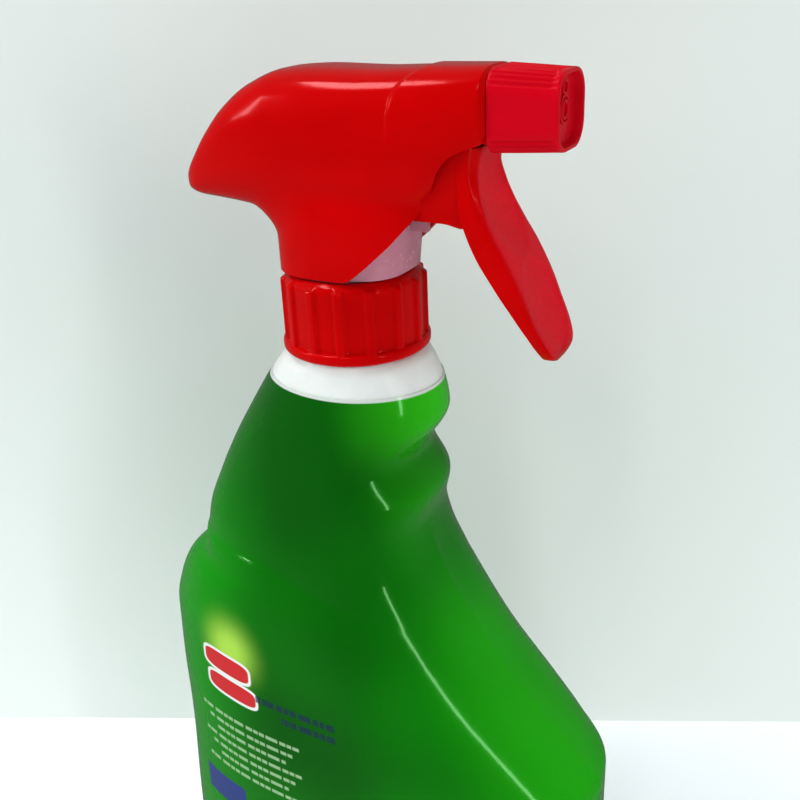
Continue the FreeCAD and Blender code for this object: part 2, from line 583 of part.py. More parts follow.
def make_orifice():
    disc = rod_x(ORIFICE_RADIUS, FACE_BACK, FACE_FRONT + ORIFICE_RING, BARREL_HEIGHT)
    dish = rod_x(ORIFICE_RADIUS - 0.6, FACE_FRONT - 0.2, FACE_FRONT + ORIFICE_RING + 1, BARREL_HEIGHT)
    hole = rod_x(ORIFICE_BORE, FACE_BACK - 1, FACE_FRONT + 1, BARREL_HEIGHT)
    return disc.cut([dish, hole])


# ---- trigger ----

def blade_section(station, inset, front_inset):
    """Level six-sided section of the trigger's blade; insets make the hollow behind it."""
    height, front, rear, half_front, half_rear = station
    shoulder = front - 0.30 * (front - rear)
    nose = front - front_inset
    flank = min(shoulder, nose - 0.5)
    near = half_front - inset
    far = half_rear - inset
    tail = rear - (inset and 1.0)
    side = [(nose, near), (flank, far), (tail, far)]
    ring = [V(x, y, height) for x, y in side] + [V(x, -y, height) for x, y in reversed(side)]
    return Part.makePolygon(ring + ring[:1])


def make_trigger():
    blade = Part.makeLoft([blade_section(s, 0, 0) for s in TRIGGER_STATIONS], True, False)
    open_part = TRIGGER_STATIONS[:-2]
    insets = (TRIGGER_WALL, TRIGGER_FRONT_WALL)
    hollow = Part.makeLoft([blade_section(s, *insets) for s in open_part], True, False)
    blade = blade.cut(hollow)
    outer = TRIGGER_PLATE_INNER + TRIGGER_WALL
    web = [(19.0, TRIGGER_WEB_BOTTOM), (27.0, TRIGGER_WEB_BOTTOM), (31.8, 30.0), (32.2, 40.0), (32.2, 46.0),
           (PIN_X + TRIGGER_BOSS_RADIUS, PIN_HEIGHT), (PIN_X - TRIGGER_BOSS_RADIUS, PIN_HEIGHT),
           (24.5, 42.0), (19.0, 37.5)]
    arms = plate_pair(web, TRIGGER_PLATE_INNER, outer)
    boss = rod_y(TRIGGER_BOSS_RADIUS, PIN_X, PIN_HEIGHT, outer)
    boss = boss.cut(rod_y(2 * TRIGGER_BOSS_RADIUS, PIN_X, PIN_HEIGHT, TRIGGER_PLATE_INNER))
    bar = rod_y(TRIGGER_BAR_RADIUS, TRIGGER_BAR_X, PUMP_HEIGHT, TRIGGER_PLATE_INNER + 0.5)
    trigger = blade.fuse([arms, boss, bar])
    swing = rod_y(BARREL_RADIUS + 0.4 + BARREL_HEIGHT - PIN_HEIGHT, PIN_X, PIN_HEIGHT, TRIGGER_PLATE_INNER)
    return trigger.cut([rod_y(PIN_RADIUS + PIN_GAP, PIN_X, PIN_HEIGHT, outer + 1), swing])


# ---- shroud ----

def hood(inset):
    """Hood of the shroud lofted through its stations, inset for the hollow."""
    wires = []
    ends = (SHROUD_STATIONS[0][0], SHROUD_STATIONS[-1][0])
    for x, low, high, half in SHROUD_STATIONS:
        if inset and x == ends[0]:
            continue
        if inset:
            opening = min(1.0, max(0.0, (x - ends[0] / 3) / SHROUD_SKIRT_REAR))
            low -= HOOD_MOUTH_DROP * opening
            x += 1 if x == ends[1] else 0
        rise = (high - low) / 2 - inset
        outline = oval(rise, rise, half - inset, SHROUD_SQUARENESS)
        wires.append(closed_curve([V(x, y, (high + low) / 2 + z) for z, y in outline]))
    return Part.makeLoft(wires, True, False)


def shroud_skirt(inset, low, high):
    outline = oval(SHROUD_SKIRT_FRONT, SHROUD_SKIRT_REAR - inset, SHROUD_SKIRT_HALF_DEPTH - inset, 2.5)
    wires = [closed_curve([V(x, y, z) for x, y in outline]) for z in (low, high)]
    return Part.makeLoft(wires, True, True)


def make_shroud():
    outer = hood(0).fuse(shroud_skirt(0, SHROUD_BOTTOM, 45))
    outer = outer.cut([hood(SHROUD_WALL), shroud_skirt(SHROUD_WALL, SHROUD_BOTTOM - 1, 45)])
    edge = Part.BSplineCurve()
    edge.interpolate([V(x, -30, z) for x, z in SHROUD_EDGE])
    end = edge.EndPoint
    start = edge.StartPoint
    corners = [end, V(end.x, -30, 0), V(60, -30, 0), V(60, -30, start.z), start]
    under = Part.Wire([edge.toShape()] + Part.makePolygon(corners).Edges)
    outer = outer.cut(Part.Face(under).extrude(V(0, 60, 0)))
    roof = SHROUD_STATIONS[7][2] - SHROUD_WALL / 2
    for x in (-2.0, 24.0):
        clip = block(x, x + CLIP_THICKNESS, BARREL_RADIUS, BARREL_HEIGHT, roof)
        outer = outer.fuse(clip.cut(rod_x(BARREL_RADIUS, x - 1, x + CLIP_THICKNESS + 1, BARREL_HEIGHT)))
    return outer


def main():
    os.makedirs("parts", exist_ok=True)
    cup_rear = ROD_BACK - 0.6
    vent_rear = VENT_X - VENT_LENGTH / 2
    seat = SEAT_X + VALVE_TRAVEL_GAP + 1.2
    pieces = {
        "bottle": make_bottle(),
        "shrink_sleeve": make_sleeve(),
        "closure_collar": make_collar(),
        "neck_gasket": make_gasket(),
        "sprayer_body": make_housing(),
        "tube_retainer": make_retainer(),
        "dip_tube": make_dip_tube(),
        "inlet_ball": make_ball(),
        "ball_cage": make_ball_cage(),
        "piston_rod": make_piston_rod(),
        "piston_cup": make_seal_ring(cup_rear, CUP_LENGTH, 1.2),
        "vent_seal": make_seal_ring(vent_rear, VENT_LENGTH, 0.4),
        "return_spring": coil_x(SPRING_RADIUS, SPRING_WIRE, PUMP_BACK + SPRING_END_GAP,
                                cup_rear - SPRING_END_GAP, SPRING_TURNS, PUMP_HEIGHT),
        "discharge_valve": make_discharge_valve(),
        "discharge_spring": coil_x(DISCHARGE_SPRING_RADIUS, DISCHARGE_SPRING_WIRE, seat + 0.1,
                                   SPINNER_REAR - 0.1, DISCHARGE_SPRING_TURNS, BARREL_HEIGHT),
        "spinner": make_spinner(),
        "nozzle_seal": make_nozzle_seal(),
        "nozzle_cap": make_nozzle(),
        "orifice_insert": make_orifice(),
        "trigger": make_trigger(),
        "sprayer_shroud": make_shroud(),
    }
    for node, shape in pieces.items():
        export(node, place(shape))


main()
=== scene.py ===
"""Looks of a trigger spray bottle, built round its CAD frame.

Lengths inside the builders are millimetres in neck coordinates: x forward from the neck's axis,
y across, and w upwards from the collar's lower face. in_frame() moves them into the frame.
"""
import logging
import math
from dataclasses import dataclass, field
from enum import Enum
from typing import Callable, Sequence, Union

import bpy
import numpy as np
from mathutils import Matrix, Vector


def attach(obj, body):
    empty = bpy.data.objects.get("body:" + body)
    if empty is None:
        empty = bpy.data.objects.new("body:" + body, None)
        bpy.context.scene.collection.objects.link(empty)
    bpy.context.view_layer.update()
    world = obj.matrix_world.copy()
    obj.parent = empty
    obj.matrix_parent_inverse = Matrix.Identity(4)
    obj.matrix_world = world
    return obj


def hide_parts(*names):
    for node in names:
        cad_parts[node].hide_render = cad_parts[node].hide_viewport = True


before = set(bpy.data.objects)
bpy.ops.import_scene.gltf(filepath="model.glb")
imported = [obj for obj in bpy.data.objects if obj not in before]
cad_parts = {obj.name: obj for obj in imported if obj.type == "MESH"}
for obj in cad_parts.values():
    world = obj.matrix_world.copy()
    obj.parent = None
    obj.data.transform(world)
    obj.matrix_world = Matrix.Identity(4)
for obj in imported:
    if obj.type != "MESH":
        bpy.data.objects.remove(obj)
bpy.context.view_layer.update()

LOG = logging.getLogger("spray_bottle")

MM = 0.001
NECK_X = -0.7
COLLAR_Z = 174.0
TURN = 2 * math.pi

Table = Sequence[tuple[float, float]]
Point = tuple[float, float, float]
Span = tuple[float, float]


class Body(Enum):
    """Bodies of the frame that pieces ride on."""

    BOTTLE = "bottle"
    HEAD = "head"
    COLLAR = "collar"
    TRIGGER = "trigger"
    NOZZLE = "nozzle"


class Slot(Enum):
    """Material slot names of the record; no piece in this script is given one."""

    BOTTLE = "bottle_white"
    SLEEVE = "sleeve_green"
    SPRAYER = "sprayer_red"
    NOZZLE = "nozzle_red"


# ---- curves and grids ----

def in_frame(points: np.ndarray) -> np.ndarray:
    """Neck coordinates in millimetres moved into the frame, in metres."""
    return (points + np.array([NECK_X, 0.0, COLLAR_Z])) * MM


def smooth(value: np.ndarray, start: float, end: float) -> np.ndarray:
    """Smooth step from 0 at start to 1 at end, with level ends."""
    t = np.clip((value - start) / (end - start), 0.0, 1.0)
    return t * t * (3 - 2 * t)


def follow(table: Table, position: np.ndarray) -> np.ndarray:
    """Cubic pieces through a table whose slopes never overshoot its points.

    Args:
        table: (position, value) pairs in rising order of position.
        position: where the value is wanted.

    Returns:
        The value at each position. Each inner slope is the harmonic mean of its two neighbours.
    """
    x, y = np.array(table, float).T
    rise = np.diff(y) / np.diff(x)
    slope = np.concatenate([rise[:1], np.zeros(len(rise) - 1), rise[-1:]])
    same = rise[:-1] * rise[1:] > 0
    both = rise[:-1] + rise[1:]
    slope[1:-1][same] = (2 * rise[:-1] * rise[1:])[same] / both[same]
    at = np.clip(np.asarray(position, float), x[0], x[-1])
    i = np.clip(np.searchsorted(x, at) - 1, 0, len(rise) - 1)
    h = x[i + 1] - x[i]
    t = (at - x[i]) / h
    return (y[i] * (1 + 2 * t) * (1 - t) ** 2 + h * slope[i] * t * (1 - t) ** 2
            + y[i + 1] * t * t * (3 - 2 * t) + h * slope[i + 1] * t * t * (t - 1))


def path_points(corners: Table, count: int, rounding: int = 0) -> np.ndarray:
    """Points spaced evenly along a broken line.

    Args:
        corners: corners of the line, in any two coordinates.
        count: number of points.
        rounding: how many times each inner point moves to the mean of itself and its neighbours.

    Returns:
        Array of (count, 2).
    """
    line = np.array(corners, float)
    length = np.concatenate([[0.0], np.cumsum(np.linalg.norm(np.diff(line, axis=0), axis=1))])
    at = np.linspace(0.0, length[-1], count)
    points = np.stack([np.interp(at, length, line[:, k]) for k in range(2)], axis=1)
    for _ in range(rounding):
        points[1:-1] = (points[:-2] + 2 * points[1:-1] + points[2:]) / 4
    return points


def grid_normals(points: np.ndarray) -> np.ndarray:
    """Unit normals of a (rows, columns, 3) grid whose columns close, from central differences."""
    down = np.gradient(points, axis=0)
    across = np.roll(points, -1, axis=1) - np.roll(points, 1, axis=1)
    normal = np.cross(across, down)
    size = np.linalg.norm(normal, axis=2, keepdims=True)
    return normal / np.maximum(size, 1e-9)


def outward(points: np.ndarray, normal: np.ndarray, inside: np.ndarray) -> np.ndarray:
    """Normals turned so that on the whole they lead away from the given inside points."""
    away = np.sum((points - inside) * normal)
    return normal if away > 0 else -normal


@dataclass
class Shape:
    """Collects closed grids and makes one mesh object of them."""

    name: str
    vertices: list[np.ndarray] = field(default_factory=list)
    faces: list[np.ndarray] = field(default_factory=list)
    masks: dict[str, list[np.ndarray]] = field(default_factory=dict)
    count: int = 0

    def add(self, grid: np.ndarray, loop: bool = False, masks: dict[str, np.ndarray] | None = None) -> None:
        """Adds a grid of (rows, columns, 3) whose columns close round.

        Its first and last rows are closed with a fan to their middle, or joined to each other.

        Args:
            grid: the points.
            loop: True when the last row joins the first, as on a ring.
            masks: values from 0 to 1 at the grid's points, for materials.
        """
        rows, cols = grid.shape[:2]
        index = np.arange(rows * cols).reshape(rows, cols)
        lower = index if loop else index[:-1]
        upper = np.roll(index, -1, axis=0) if loop else index[1:]
        quads = np.stack([lower, np.roll(lower, -1, axis=1), np.roll(upper, -1, axis=1), upper], axis=-1)
        quads = quads.reshape(-1, 4)
        points = grid.reshape(-1, 3)
        values = {key: mask.reshape(-1) for key, mask in (masks or {}).items()}
        fans = np.empty((0, 3), int)
        if not loop:
            poles = np.stack([grid[0].mean(axis=0), grid[-1].mean(axis=0)])
            points = np.concatenate([points, poles])
            values = {key: np.append(v, [v[0], v[-1]]) for key, v in values.items()}
            first, last = rows * cols, rows * cols + 1
            head, tail = index[0], index[-1]
            fans = np.concatenate([
                np.stack([np.roll(head, -1), head, np.full(cols, first)], axis=1),
                np.stack([tail, np.roll(tail, -1), np.full(cols, last)], axis=1),
            ])
        triangles = np.concatenate([quads[:, [0, 1, 2]], quads[:, [0, 2, 3]], fans])
        a, b, c = (points[triangles[:, k]] for k in range(3))
        if np.sum(np.cross(a, b) * c) < 0:
            quads, fans = quads[:, ::-1], fans[:, ::-1]
        self.vertices.append(points)
        self.faces += [quads + self.count, fans + self.count]
        for key in set(self.masks) | set(values):
            column = self.masks.setdefault(key, [np.zeros(self.count)])
            column.append(values.get(key, np.zeros(len(points))))
        self.count += len(points)

    def build(self, sharp_angle: float = 40.0) -> bpy.types.Object:
        """Makes the object in the frame.

        Args:
            sharp_angle: degrees between faces past which an edge is drawn sharp.

        Returns:
            The new object, at the origin.
        """
        points = in_frame(np.concatenate(self.vertices))
        mesh = bpy.data.meshes.new(self.name)
        faces = [f.tolist() for f in self.faces if len(f)]
        mesh.from_pydata(points.tolist(), [], [face for part in faces for face in part])
        mesh.polygons.foreach_set("use_smooth", np.ones(len(mesh.polygons), bool))
        for key, parts in self.masks.items():
            layer = mesh.attributes.new(key, "FLOAT", "POINT")
            layer.data.foreach_set("value", np.concatenate(parts).astype(np.float32))
        mesh.update()
        mesh.validate()
        mesh.set_sharp_from_angle(angle=math.radians(sharp_angle))
        piece = bpy.data.objects.new(self.name, mesh)
        bpy.context.scene.collection.objects.link(piece)
        LOG.info("%s: %d vertices, %d faces", self.name, len(mesh.vertices), len(mesh.polygons))
        return piece


def ring_about_x(profile: Table, height: float, cols: int, y: float = 0.0) -> np.ndarray:
    """Surface of revolution about a line along x.

    Point at row r and column c is (x_r, y + radius_r cos a, height + radius_r sin a), a = turn of c.
    """
    x, radius = np.array(profile, float).T
    angle = np.linspace(0, TURN, cols, endpoint=False)[None]
    return np.stack([x[:, None] + 0 * angle, y + radius[:, None] * np.cos(angle),
                     height + radius[:, None] * np.sin(angle)], axis=-1)


# ---- shader building ----

Number = Union[float, "Signal"]


@dataclass(frozen=True)
class Signal:
    """A shader socket that carries a number, with arithmetic."""

    graph: "Graph"
    socket: bpy.types.NodeSocket

    def _math(self, operation: str, *values: Number) -> "Signal":
        """Math node of that operation on the values."""
        return self.graph.number("ShaderNodeMath", {"operation": operation}, dict(enumerate(values)))

    def __add__(self, other: Number) -> "Signal":
        """Sum."""
        return self._math("ADD", self, other)

    def __radd__(self, other: Number) -> "Signal":
        """Sum, reflected."""
        return self._math("ADD", other, self)

    def __sub__(self, other: Number) -> "Signal":
        """Difference."""
        return self._math("SUBTRACT", self, other)

    def __rsub__(self, other: Number) -> "Signal":
        """Difference, reflected."""
        return self._math("SUBTRACT", other, self)

    def __mul__(self, other: Number) -> "Signal":
        """Product."""
        return self._math("MULTIPLY", self, other)

    def __rmul__(self, other: Number) -> "Signal":
        """Product, reflected."""
        return self._math("MULTIPLY", other, self)

    def __abs__(self) -> "Signal":
        """Size without sign."""
        return self._math("ABSOLUTE", self)

    def root(self) -> "Signal":
        """Square root."""
        return self._math("SQRT", self)

    def wave(self) -> "Signal":
        """Sine."""
        return self._math("SINE", self)

    def ramp(self, start: float, end: float) -> "Signal":
        """Smooth step from 0 at start to 1 at end; start may be the larger."""
        low, high = min(start, end), max(start, end)
        step = self.graph.number("ShaderNodeMapRange", {"interpolation_type": "SMOOTHSTEP"},
                                 {"Value": self, "From Min": low, "From Max": high})
        return step if start < end else 1 - step


@dataclass
class Graph:
    """Node tree of one material."""

    name: str

    def __post_init__(self) -> None:
        """Makes the material with its shader."""
        self.material = bpy.data.materials.new(self.name)
        self.material.use_nodes = True
        self.tree = self.material.node_tree
        self.shader = self.tree.nodes["Principled BSDF"]

    def node(self, kind: str, settings: dict[str, object],
             inputs: dict[int | str, object]) -> bpy.types.Node:
        """Adds one node.

        Args:
            kind: Blender's type of the node.
            settings: its properties, set before its sockets.
            inputs: values or links of its sockets, by name or number.

        Returns:
            The node.
        """
        made = self.tree.nodes.new(kind)
        for key, value in settings.items():
            setattr(made, key, value)
        for key, value in inputs.items():
            self.feed(made.inputs[key], value)
        return made

    def feed(self, target: bpy.types.NodeSocket, value: object) -> None:
        """Links a socket or a signal to the target, or sets its value."""
        if isinstance(value, Signal):
            self.tree.links.new(value.socket, target)
        elif isinstance(value, bpy.types.NodeSocket):
            self.tree.links.new(value, target)
        else:
            target.default_value = value

    def number(self, kind: str, settings: dict[str, object],
               inputs: dict[int | str, object]) -> Signal:
        """First output of a new node as a number."""
        return Signal(self, self.node(kind, settings, inputs).outputs[0])

    def place(self) -> tuple[Signal, Signal, Signal]:
        """Object coordinates x, y and z in metres."""
        split = self.node("ShaderNodeSeparateXYZ", {}, {0: self.coordinates()})
        return tuple(Signal(self, split.outputs[k]) for k in range(3))

    def coordinates(self) -> bpy.types.NodeSocket:
        """Object coordinates as a vector."""
        return self.node("ShaderNodeTexCoord", {}, {}).outputs["Object"]

    def stretched(self, scale: Point) -> bpy.types.NodeSocket:
        """Object coordinates scaled on each axis."""
        return self.node("ShaderNodeMapping", {}, {"Vector": self.coordinates(), "Scale": scale}).outputs[0]

    def noise(self, scale: float, detail: float = 3.0,
              vector: bpy.types.NodeSocket | None = None) -> Signal:
        """Noise from 0 to 1 over Object coordinates."""
        return self.number("ShaderNodeTexNoise", {},
                           {"Vector": vector or self.coordinates(), "Scale": scale, "Detail": detail})

    def mask(self, name: str) -> Signal:
        """Value stored on the mesh."""
        made = self.node("ShaderNodeAttribute", {"attribute_name": name}, {})
        return Signal(self, made.outputs["Fac"])

    def blend(self, factor: Number, first: object, second: object) -> bpy.types.NodeSocket:
        """Colour that goes from first to second as factor goes from 0 to 1."""
        made = self.node("ShaderNodeMix", {"data_type": "RGBA"}, {0: factor, 6: first, 7: second})
        return made.outputs[2]

    def bump(self, height: Signal, distance: float, strength: float = 1.0) -> None:
        """Feeds the shader's normal with a bump of that height, distance in metres."""
        made = self.node("ShaderNodeBump", {},
                         {"Height": height, "Distance": distance, "Strength": strength})
        self.feed(self.shader.inputs["Normal"], made.outputs[0])

    def set(self, **values: object) -> None:
        """Sets or links the shader's sockets; an underscore stands for a space in their names."""
        for key, value in values.items():
            self.feed(self.shader.inputs[key.replace("_", " ")], value)


Colour = tuple[float, float, float]


def opaque(colour: Colour) -> tuple[float, float, float, float]:
    """Colour with full alpha."""
    return (*colour, 1.0)


@dataclass(frozen=True)
class MouldedPlastic:
    """Glossy injection-moulded plastic with faint flow streaks and a satin skin where it is etched."""

    name: str
    colour: Colour
    deep: Colour
    tint: Colour = (1.0, 0.10, 0.12)
    roughness: float = 0.13
    specular: float = 0.2
    coat: float = 0.05
    satin_colour: Colour = (0.66, 0.002, 0.012)
    satin_roughness: float = 0.42
    flow_scale: Point = (30.0, 60.0, 60.0)

    def material(self) -> bpy.types.Material:
        """Builds the finish."""
        graph = Graph(self.name)
        flow = graph.noise(1.0, 4.0, graph.stretched(self.flow_scale))
        satin = graph.mask("satin")
        grain = graph.noise(1400.0, 2.0)
        base = graph.blend(flow.ramp(0.3, 0.7), opaque(self.deep), opaque(self.colour))
        skin = graph.blend(grain.ramp(0.35, 0.7), opaque(self.satin_colour),
                           opaque(tuple(min(1.0, c * 1.12) for c in self.satin_colour)))
        rough = self.roughness + flow * 0.06 + satin * (self.satin_roughness - self.roughness)
        graph.set(Base_Color=graph.blend(satin, base, skin), Roughness=rough,
                  Specular_IOR_Level=self.specular, Specular_Tint=opaque(self.tint),
                  Coat_Weight=self.coat, Coat_Roughness=0.06)
        graph.bump(grain * (0.15 + satin * 0.85) + graph.noise(160.0) * 0.9, 0.00006, 0.6)
        return graph.material


@dataclass(frozen=True)
class PlainMaterial:
    """Hidden or small part: colour with a cloudy variation, and a fine grain."""

    name: str
    colour: Colour
    other: Colour
    roughness: float
    metallic: float = 0.0
    specular: float = 0.5
    transmission: float = 0.0
    subsurface: float = 0.0
    cloud: float = 90.0
    grain: float = 900.0

    def material(self) -> bpy.types.Material:
        """Builds the finish."""
        graph = Graph(self.name)
        cloud = graph.noise(self.cloud)
        grain = graph.noise(self.grain, 2.0)
        graph.set(Base_Color=graph.blend(cloud.ramp(0.3, 0.7), opaque(self.colour), opaque(self.other)),
                  Roughness=self.roughness + grain * 0.08, Metallic=self.metallic,
                  Specular_IOR_Level=self.specular, Transmission_Weight=self.transmission,
                  Subsurface_Weight=self.subsurface, Subsurface_Scale=0.003)
        graph.bump(grain, 0.00004, 0.5)
        return graph.material


@dataclass(frozen=True)
class SleeveFilm:
    """Printed shrink film: greens with painted sheen that lightens them towards both ends, a soft glow and
    plain label blocks.

    Places are millimetres in the frame, and spans are where a smooth step starts and ends.
    """

    name: str = "sleeve_film"
    dark: Colour = (0.0004, 0.085, 0.0008)
    middle: Colour = (0.005, 0.29, 0.003)
    # Pale green painted in as sheen towards the upper front of the film.
    painted_sheen_green: Colour = (0.06, 0.98, 0.010)
    glow: Colour = (0.55, 0.86, 0.10)
    pale: Colour = (0.42, 0.66, 0.36)
    badge: Colour = (0.62, 0.02, 0.03)
    badge_edge: Colour = (0.82, 0.84, 0.80)
    panel: Colour = (0.03, 0.05, 0.22)
    ink: Colour = (0.008, 0.03, 0.05)
    glow_at: tuple[float, float] = (-27.5, 96.5)
    glow_size: float = 16.0
    # Spans and slant of the painted sheen: lighter towards the front and rear ends, and higher up at the
    # front.
    front_sheen_fade: Span = (8.0, 52.0)
    front_sheen_slant: float = 0.35
    sheen_slant_height: float = 140.0
    rear_sheen_fade: Span = (-12.0, -52.0)
    rise: Span = (40.0, 120.0)
    top_edge: Span = (166.0, 166.3)
    edge_colour: Colour = (0.62, 0.66, 0.62)
    tint: Colour = (0.25, 1.0, 0.22)
    bar_rows: int = 7
    near_depth: float = 6.0

    def material(self) -> bpy.types.Material:
        """Builds the finish."""
        graph = Graph(self.name)
        ox, oy, oz = graph.place()
        x, y, z = ox * 1000.0, oy * 1000.0, oz * 1000.0
        cloud = graph.noise(22.0, 2.0)
        wobble = (cloud - 0.5) * 14.0
        # Painted sheen: front, rear and rise say where the green is lightened towards both ends and up the
        # front; the noise blend below is the film's own uneven tone.
        front = (x + wobble - (self.sheen_slant_height - z) * self.front_sheen_slant).ramp(*self.front_sheen_fade)
        rear = (x + wobble).ramp(*self.rear_sheen_fade)
        rise = z.ramp(*self.rise)
        colour = graph.blend(graph.noise(9.0, 2.0).ramp(0.35, 0.65), opaque(self.dark), opaque(self.middle))
        colour = graph.blend(rear * 0.85, colour, opaque(self.middle))
        colour = graph.blend(front * rise * 0.9, colour, opaque(self.painted_sheen_green))
        near = y.ramp(0.0, -self.near_depth)
        gx, gz = x - self.glow_at[0], z - self.glow_at[1]
        distance = (gx * gx + gz * gz).root()
        halo = distance.ramp(self.glow_size, 1.5)
        colour = graph.blend(halo * halo * near * 0.75, colour, opaque(self.glow))
        colour = self._label(graph, colour, x, z, near)
        colour = graph.blend(z.ramp(*self.top_edge), colour, opaque(self.edge_colour))
        crinkle = graph.noise(1.0, 3.0, graph.stretched((55.0, 55.0, 14.0)))
        streak = graph.noise(1.0, 4.0, graph.stretched((190.0, 190.0, 420.0)))
        graph.set(Base_Color=colour, Roughness=0.12 + streak * 0.05, Specular_IOR_Level=0.45,
                  Specular_Tint=opaque(self.tint), Coat_Weight=0.2, Coat_Roughness=0.035)
        graph.bump(crinkle * 0.8 + streak * 0.12 + graph.noise(900.0, 1.0) * 0.02, 0.0004, 0.55)
        return graph.material

    def _box(self, x: Signal, z: Signal, middle: tuple[float, float], half: tuple[float, float],
             slope: float = 0.0) -> Signal:
        """1 inside an upright box on the side view, whose level lines fall by slope per millimetre of x."""
        along = abs(x - middle[0]).ramp(half[0] + 0.3, half[0] - 0.1)
        up = abs(z - middle[1] + (x - middle[0]) * slope).ramp(half[1] + 0.12, half[1] - 0.12)
        return along * up

    def _pebble(self, x: Signal, z: Signal, middle: tuple[float, float], half: tuple[float, float],
                slope: float) -> Signal:
        """1 inside a rounded block: sum of the fourth powers of both offsets over their half sizes."""
        along = (x - middle[0]) * (1 / half[0])
        up = (z - middle[1] + (x - middle[0]) * slope) * (1 / half[1])
        wide, high = along * along, up * up
        return (wide * wide + high * high).ramp(1.12, 0.92)

    def _label(self, graph: Graph, colour: bpy.types.NodeSocket, x: Signal, z: Signal,
               near: Signal) -> bpy.types.NodeSocket:
        """Adds two plain badge blocks, rows of short bars and a panel to one side of the sleeve."""
        for middle, half in (((-29.6, 91.0), (8.6, 3.5)), ((-28.2, 84.2), (9.0, 3.3))):
            for reach, shade in ((0.0, self.badge_edge), (0.8, self.badge)):
                block = self._pebble(x, z, middle, (half[0] - reach, half[1] - reach), 0.06)
                colour = graph.blend(block * near, colour, opaque(shade))
        gaps = (x * 2.3 + (x * 0.61).wave() * 2.0).wave().ramp(-0.95, -0.7)
        for middle, length in (((-8.0, 85.0), 12.0), ((-4.0, 81.4), 8.0)):
            colour = graph.blend(self._box(x, z, middle, (length, 1.0)) * gaps * near * 0.85, colour,
                                 opaque(self.ink))
        for row in range(self.bar_rows):
            bar = self._box(x, z, (-24.0, 74.0 - 3.0 * row), (17.0 - (row % 3) * 2.5, 0.55))
            colour = graph.blend(bar * gaps * near * 0.7, colour, opaque(self.pale))
        panel = self._box(x, z, (-36.0, 46.0), (8.0, 4.5))
        return graph.blend(panel * near, colour, opaque(self.panel))


# ---- bottle and sleeve ----

